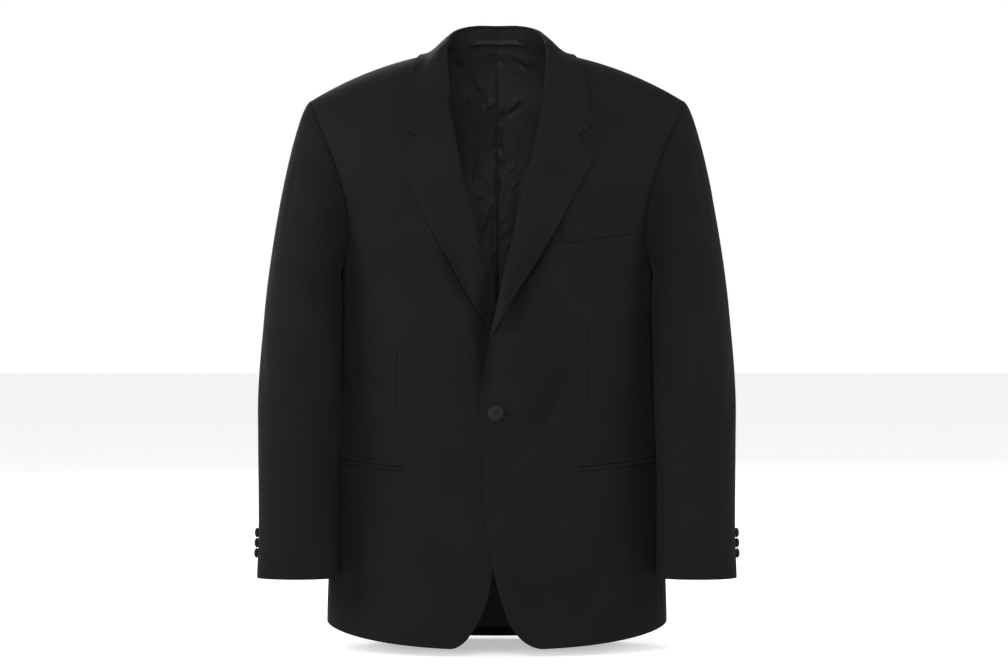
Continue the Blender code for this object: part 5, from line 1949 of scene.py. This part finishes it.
@dataclass
class Stage:
    """A plain pale floor with a painted shadow near the hem, soft studio light and the camera of the
    photograph.
    """

    floor_height: float = -0.7745
    floor_size: float = 60.0
    # Painted shadow on the floor: a weaker glow in an ellipse round the hem, and the reach it fades out
    # over.
    painted_shadow_glow: float = 0.46
    glow_far: float = 0.78
    glow_as_light: float = 0.35
    painted_shadow_reach: Pair = (0.55, 1.25)
    painted_shadow_size: Pair = (0.25, 0.15)
    painted_shadow_back: float = 0.06
    surround: float = 0.22
    camera_at: Triple = (0.0091, -4.0, -0.369)
    lens: float = 109.9
    aim: Triple = (0.0, 0.0, -0.35)
    lights: tuple[tuple[str, Triple, float, float], ...] = (
        ("Front softbox", (-0.4, -4.0, 1.3), 3.4, 175.0),
        ("Left softbox", (-3.8, -0.9, 1.2), 1.5, 120.0),
        ("Right softbox", (3.8, -0.9, 1.2), 1.5, 80.0),
        ("Back softbox", (-1.4, 3.8, 1.8), 2.0, 130.0),
    )

    def build_floor(self) -> None:
        """The floor, as pale to the eye as the backdrop and dimmer as a light, with a painted shadow: its
        glow is weaker near the hem.
        """
        half = self.floor_size / 2
        corners = [(-half, -half), (half, -half), (half, half), (-half, half)]
        mesh = bpy.data.meshes.new("floor")
        mesh.from_pydata([(x, y, self.floor_height) for x, y in corners], [], [(0, 1, 2, 3)])
        material, nodes, shader = new_material("Pale floor")
        # Painted shadow: the glow is weaker inside an ellipse round the garment's footprint and stronger
        # further out.
        width, depth = self.painted_shadow_size
        where = nodes.add("TexCoord").outputs["Object"]
        scale, shift = (1 / width, 1 / depth, 0.0), (0.0, -self.painted_shadow_back / depth, 0.0)
        scaled = nodes.math("MULTIPLY_ADD", where, scale, shift, kind="VectorMath")
        away = nodes.math("LENGTH", scaled, kind="VectorMath")
        glow = nodes.ramp(away, *self.painted_shadow_reach, self.painted_shadow_glow, self.glow_far)
        seen = nodes.add("LightPath").outputs["Is Camera Ray"]
        dimmed = nodes.ramp(seen, 0.0, 1.0, self.glow_as_light, 1.0)
        nodes.set(
            shader,
            Base_Color=(0.55, 0.55, 0.55, 1),
            Roughness=1.0,
            Specular_IOR_Level=0.0,
            Emission_Color=(1, 1, 1, 1),
            Emission_Strength=nodes.math("MULTIPLY", glow, dimmed),
        )
        mesh.materials.append(material)
        floor = bpy.data.objects.new("floor", mesh)
        bpy.context.scene.collection.objects.link(floor)

    def build_world(self) -> None:
        """A white backdrop, dimmer as a light than to the eye."""
        world = bpy.data.worlds.new("Studio")
        bpy.context.scene.world = world
        world.use_nodes = True
        nodes, own = Nodes(world.node_tree), world.node_tree.nodes
        glow = nodes.set(own["Background"], Color=(1, 1, 1, 1), Strength=self.surround)
        seen = nodes.add("Background", Color=(1, 1, 1, 1), Strength=1.0)
        choice = nodes.add("MixShader", Fac=nodes.add("LightPath").outputs["Is Camera Ray"])
        nodes.feed(choice.inputs[1], glow.outputs[0])
        nodes.feed(choice.inputs[2], seen.outputs[0])
        nodes.set(own["World Output"], Surface=choice.outputs[0])

    def add_light(self, name: str, at: Triple, size: float, power: float) -> None:
        """Add a soft square light.

        Args:
            name: its name.
            at: where it stands.
            size: its side.
            power: its power in watts.
        """
        light = bpy.data.lights.new(name, "AREA")
        light.shape = "SQUARE"
        light.size = size
        light.energy = power
        holder = bpy.data.objects.new(name, light)
        holder.location = at
        holder.rotation_euler = (Vector(self.aim) - Vector(at)).to_track_quat("-Z", "Y").to_euler()
        bpy.context.scene.collection.objects.link(holder)

    def build(self) -> None:
        """Set the stage."""
        self.build_floor()
        self.build_world()
        for light in self.lights:
            self.add_light(*light)
        camera = bpy.data.cameras.new("Camera")
        camera.sensor_width = 36.0
        camera.lens = self.lens
        holder = bpy.data.objects.new("Camera", camera)
        holder.location = self.camera_at
        holder.rotation_euler = (math.radians(90), 0, 0)
        bpy.context.scene.collection.objects.link(holder)
        bpy.context.scene.camera = holder
        bpy.context.scene.view_settings.view_transform = "Standard"


def main() -> None:
    """Build the whole blazer and its stage."""
    logging.basicConfig(level=logging.INFO, format="%(name)s: %(message)s")
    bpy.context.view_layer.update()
    body = Body()
    body.build(Fastening().build())
    lapels = {side: Lapel(side, body) for side in Side}
    for side in Side:
        Sleeve(side).build()
        lapels[side].build()
    Collar(lapels[Side.LEFT]).build()
    Pockets().build()
    Stage().build()
    bpy.context.view_layer.update()


if __name__ == "__main__":
    main()
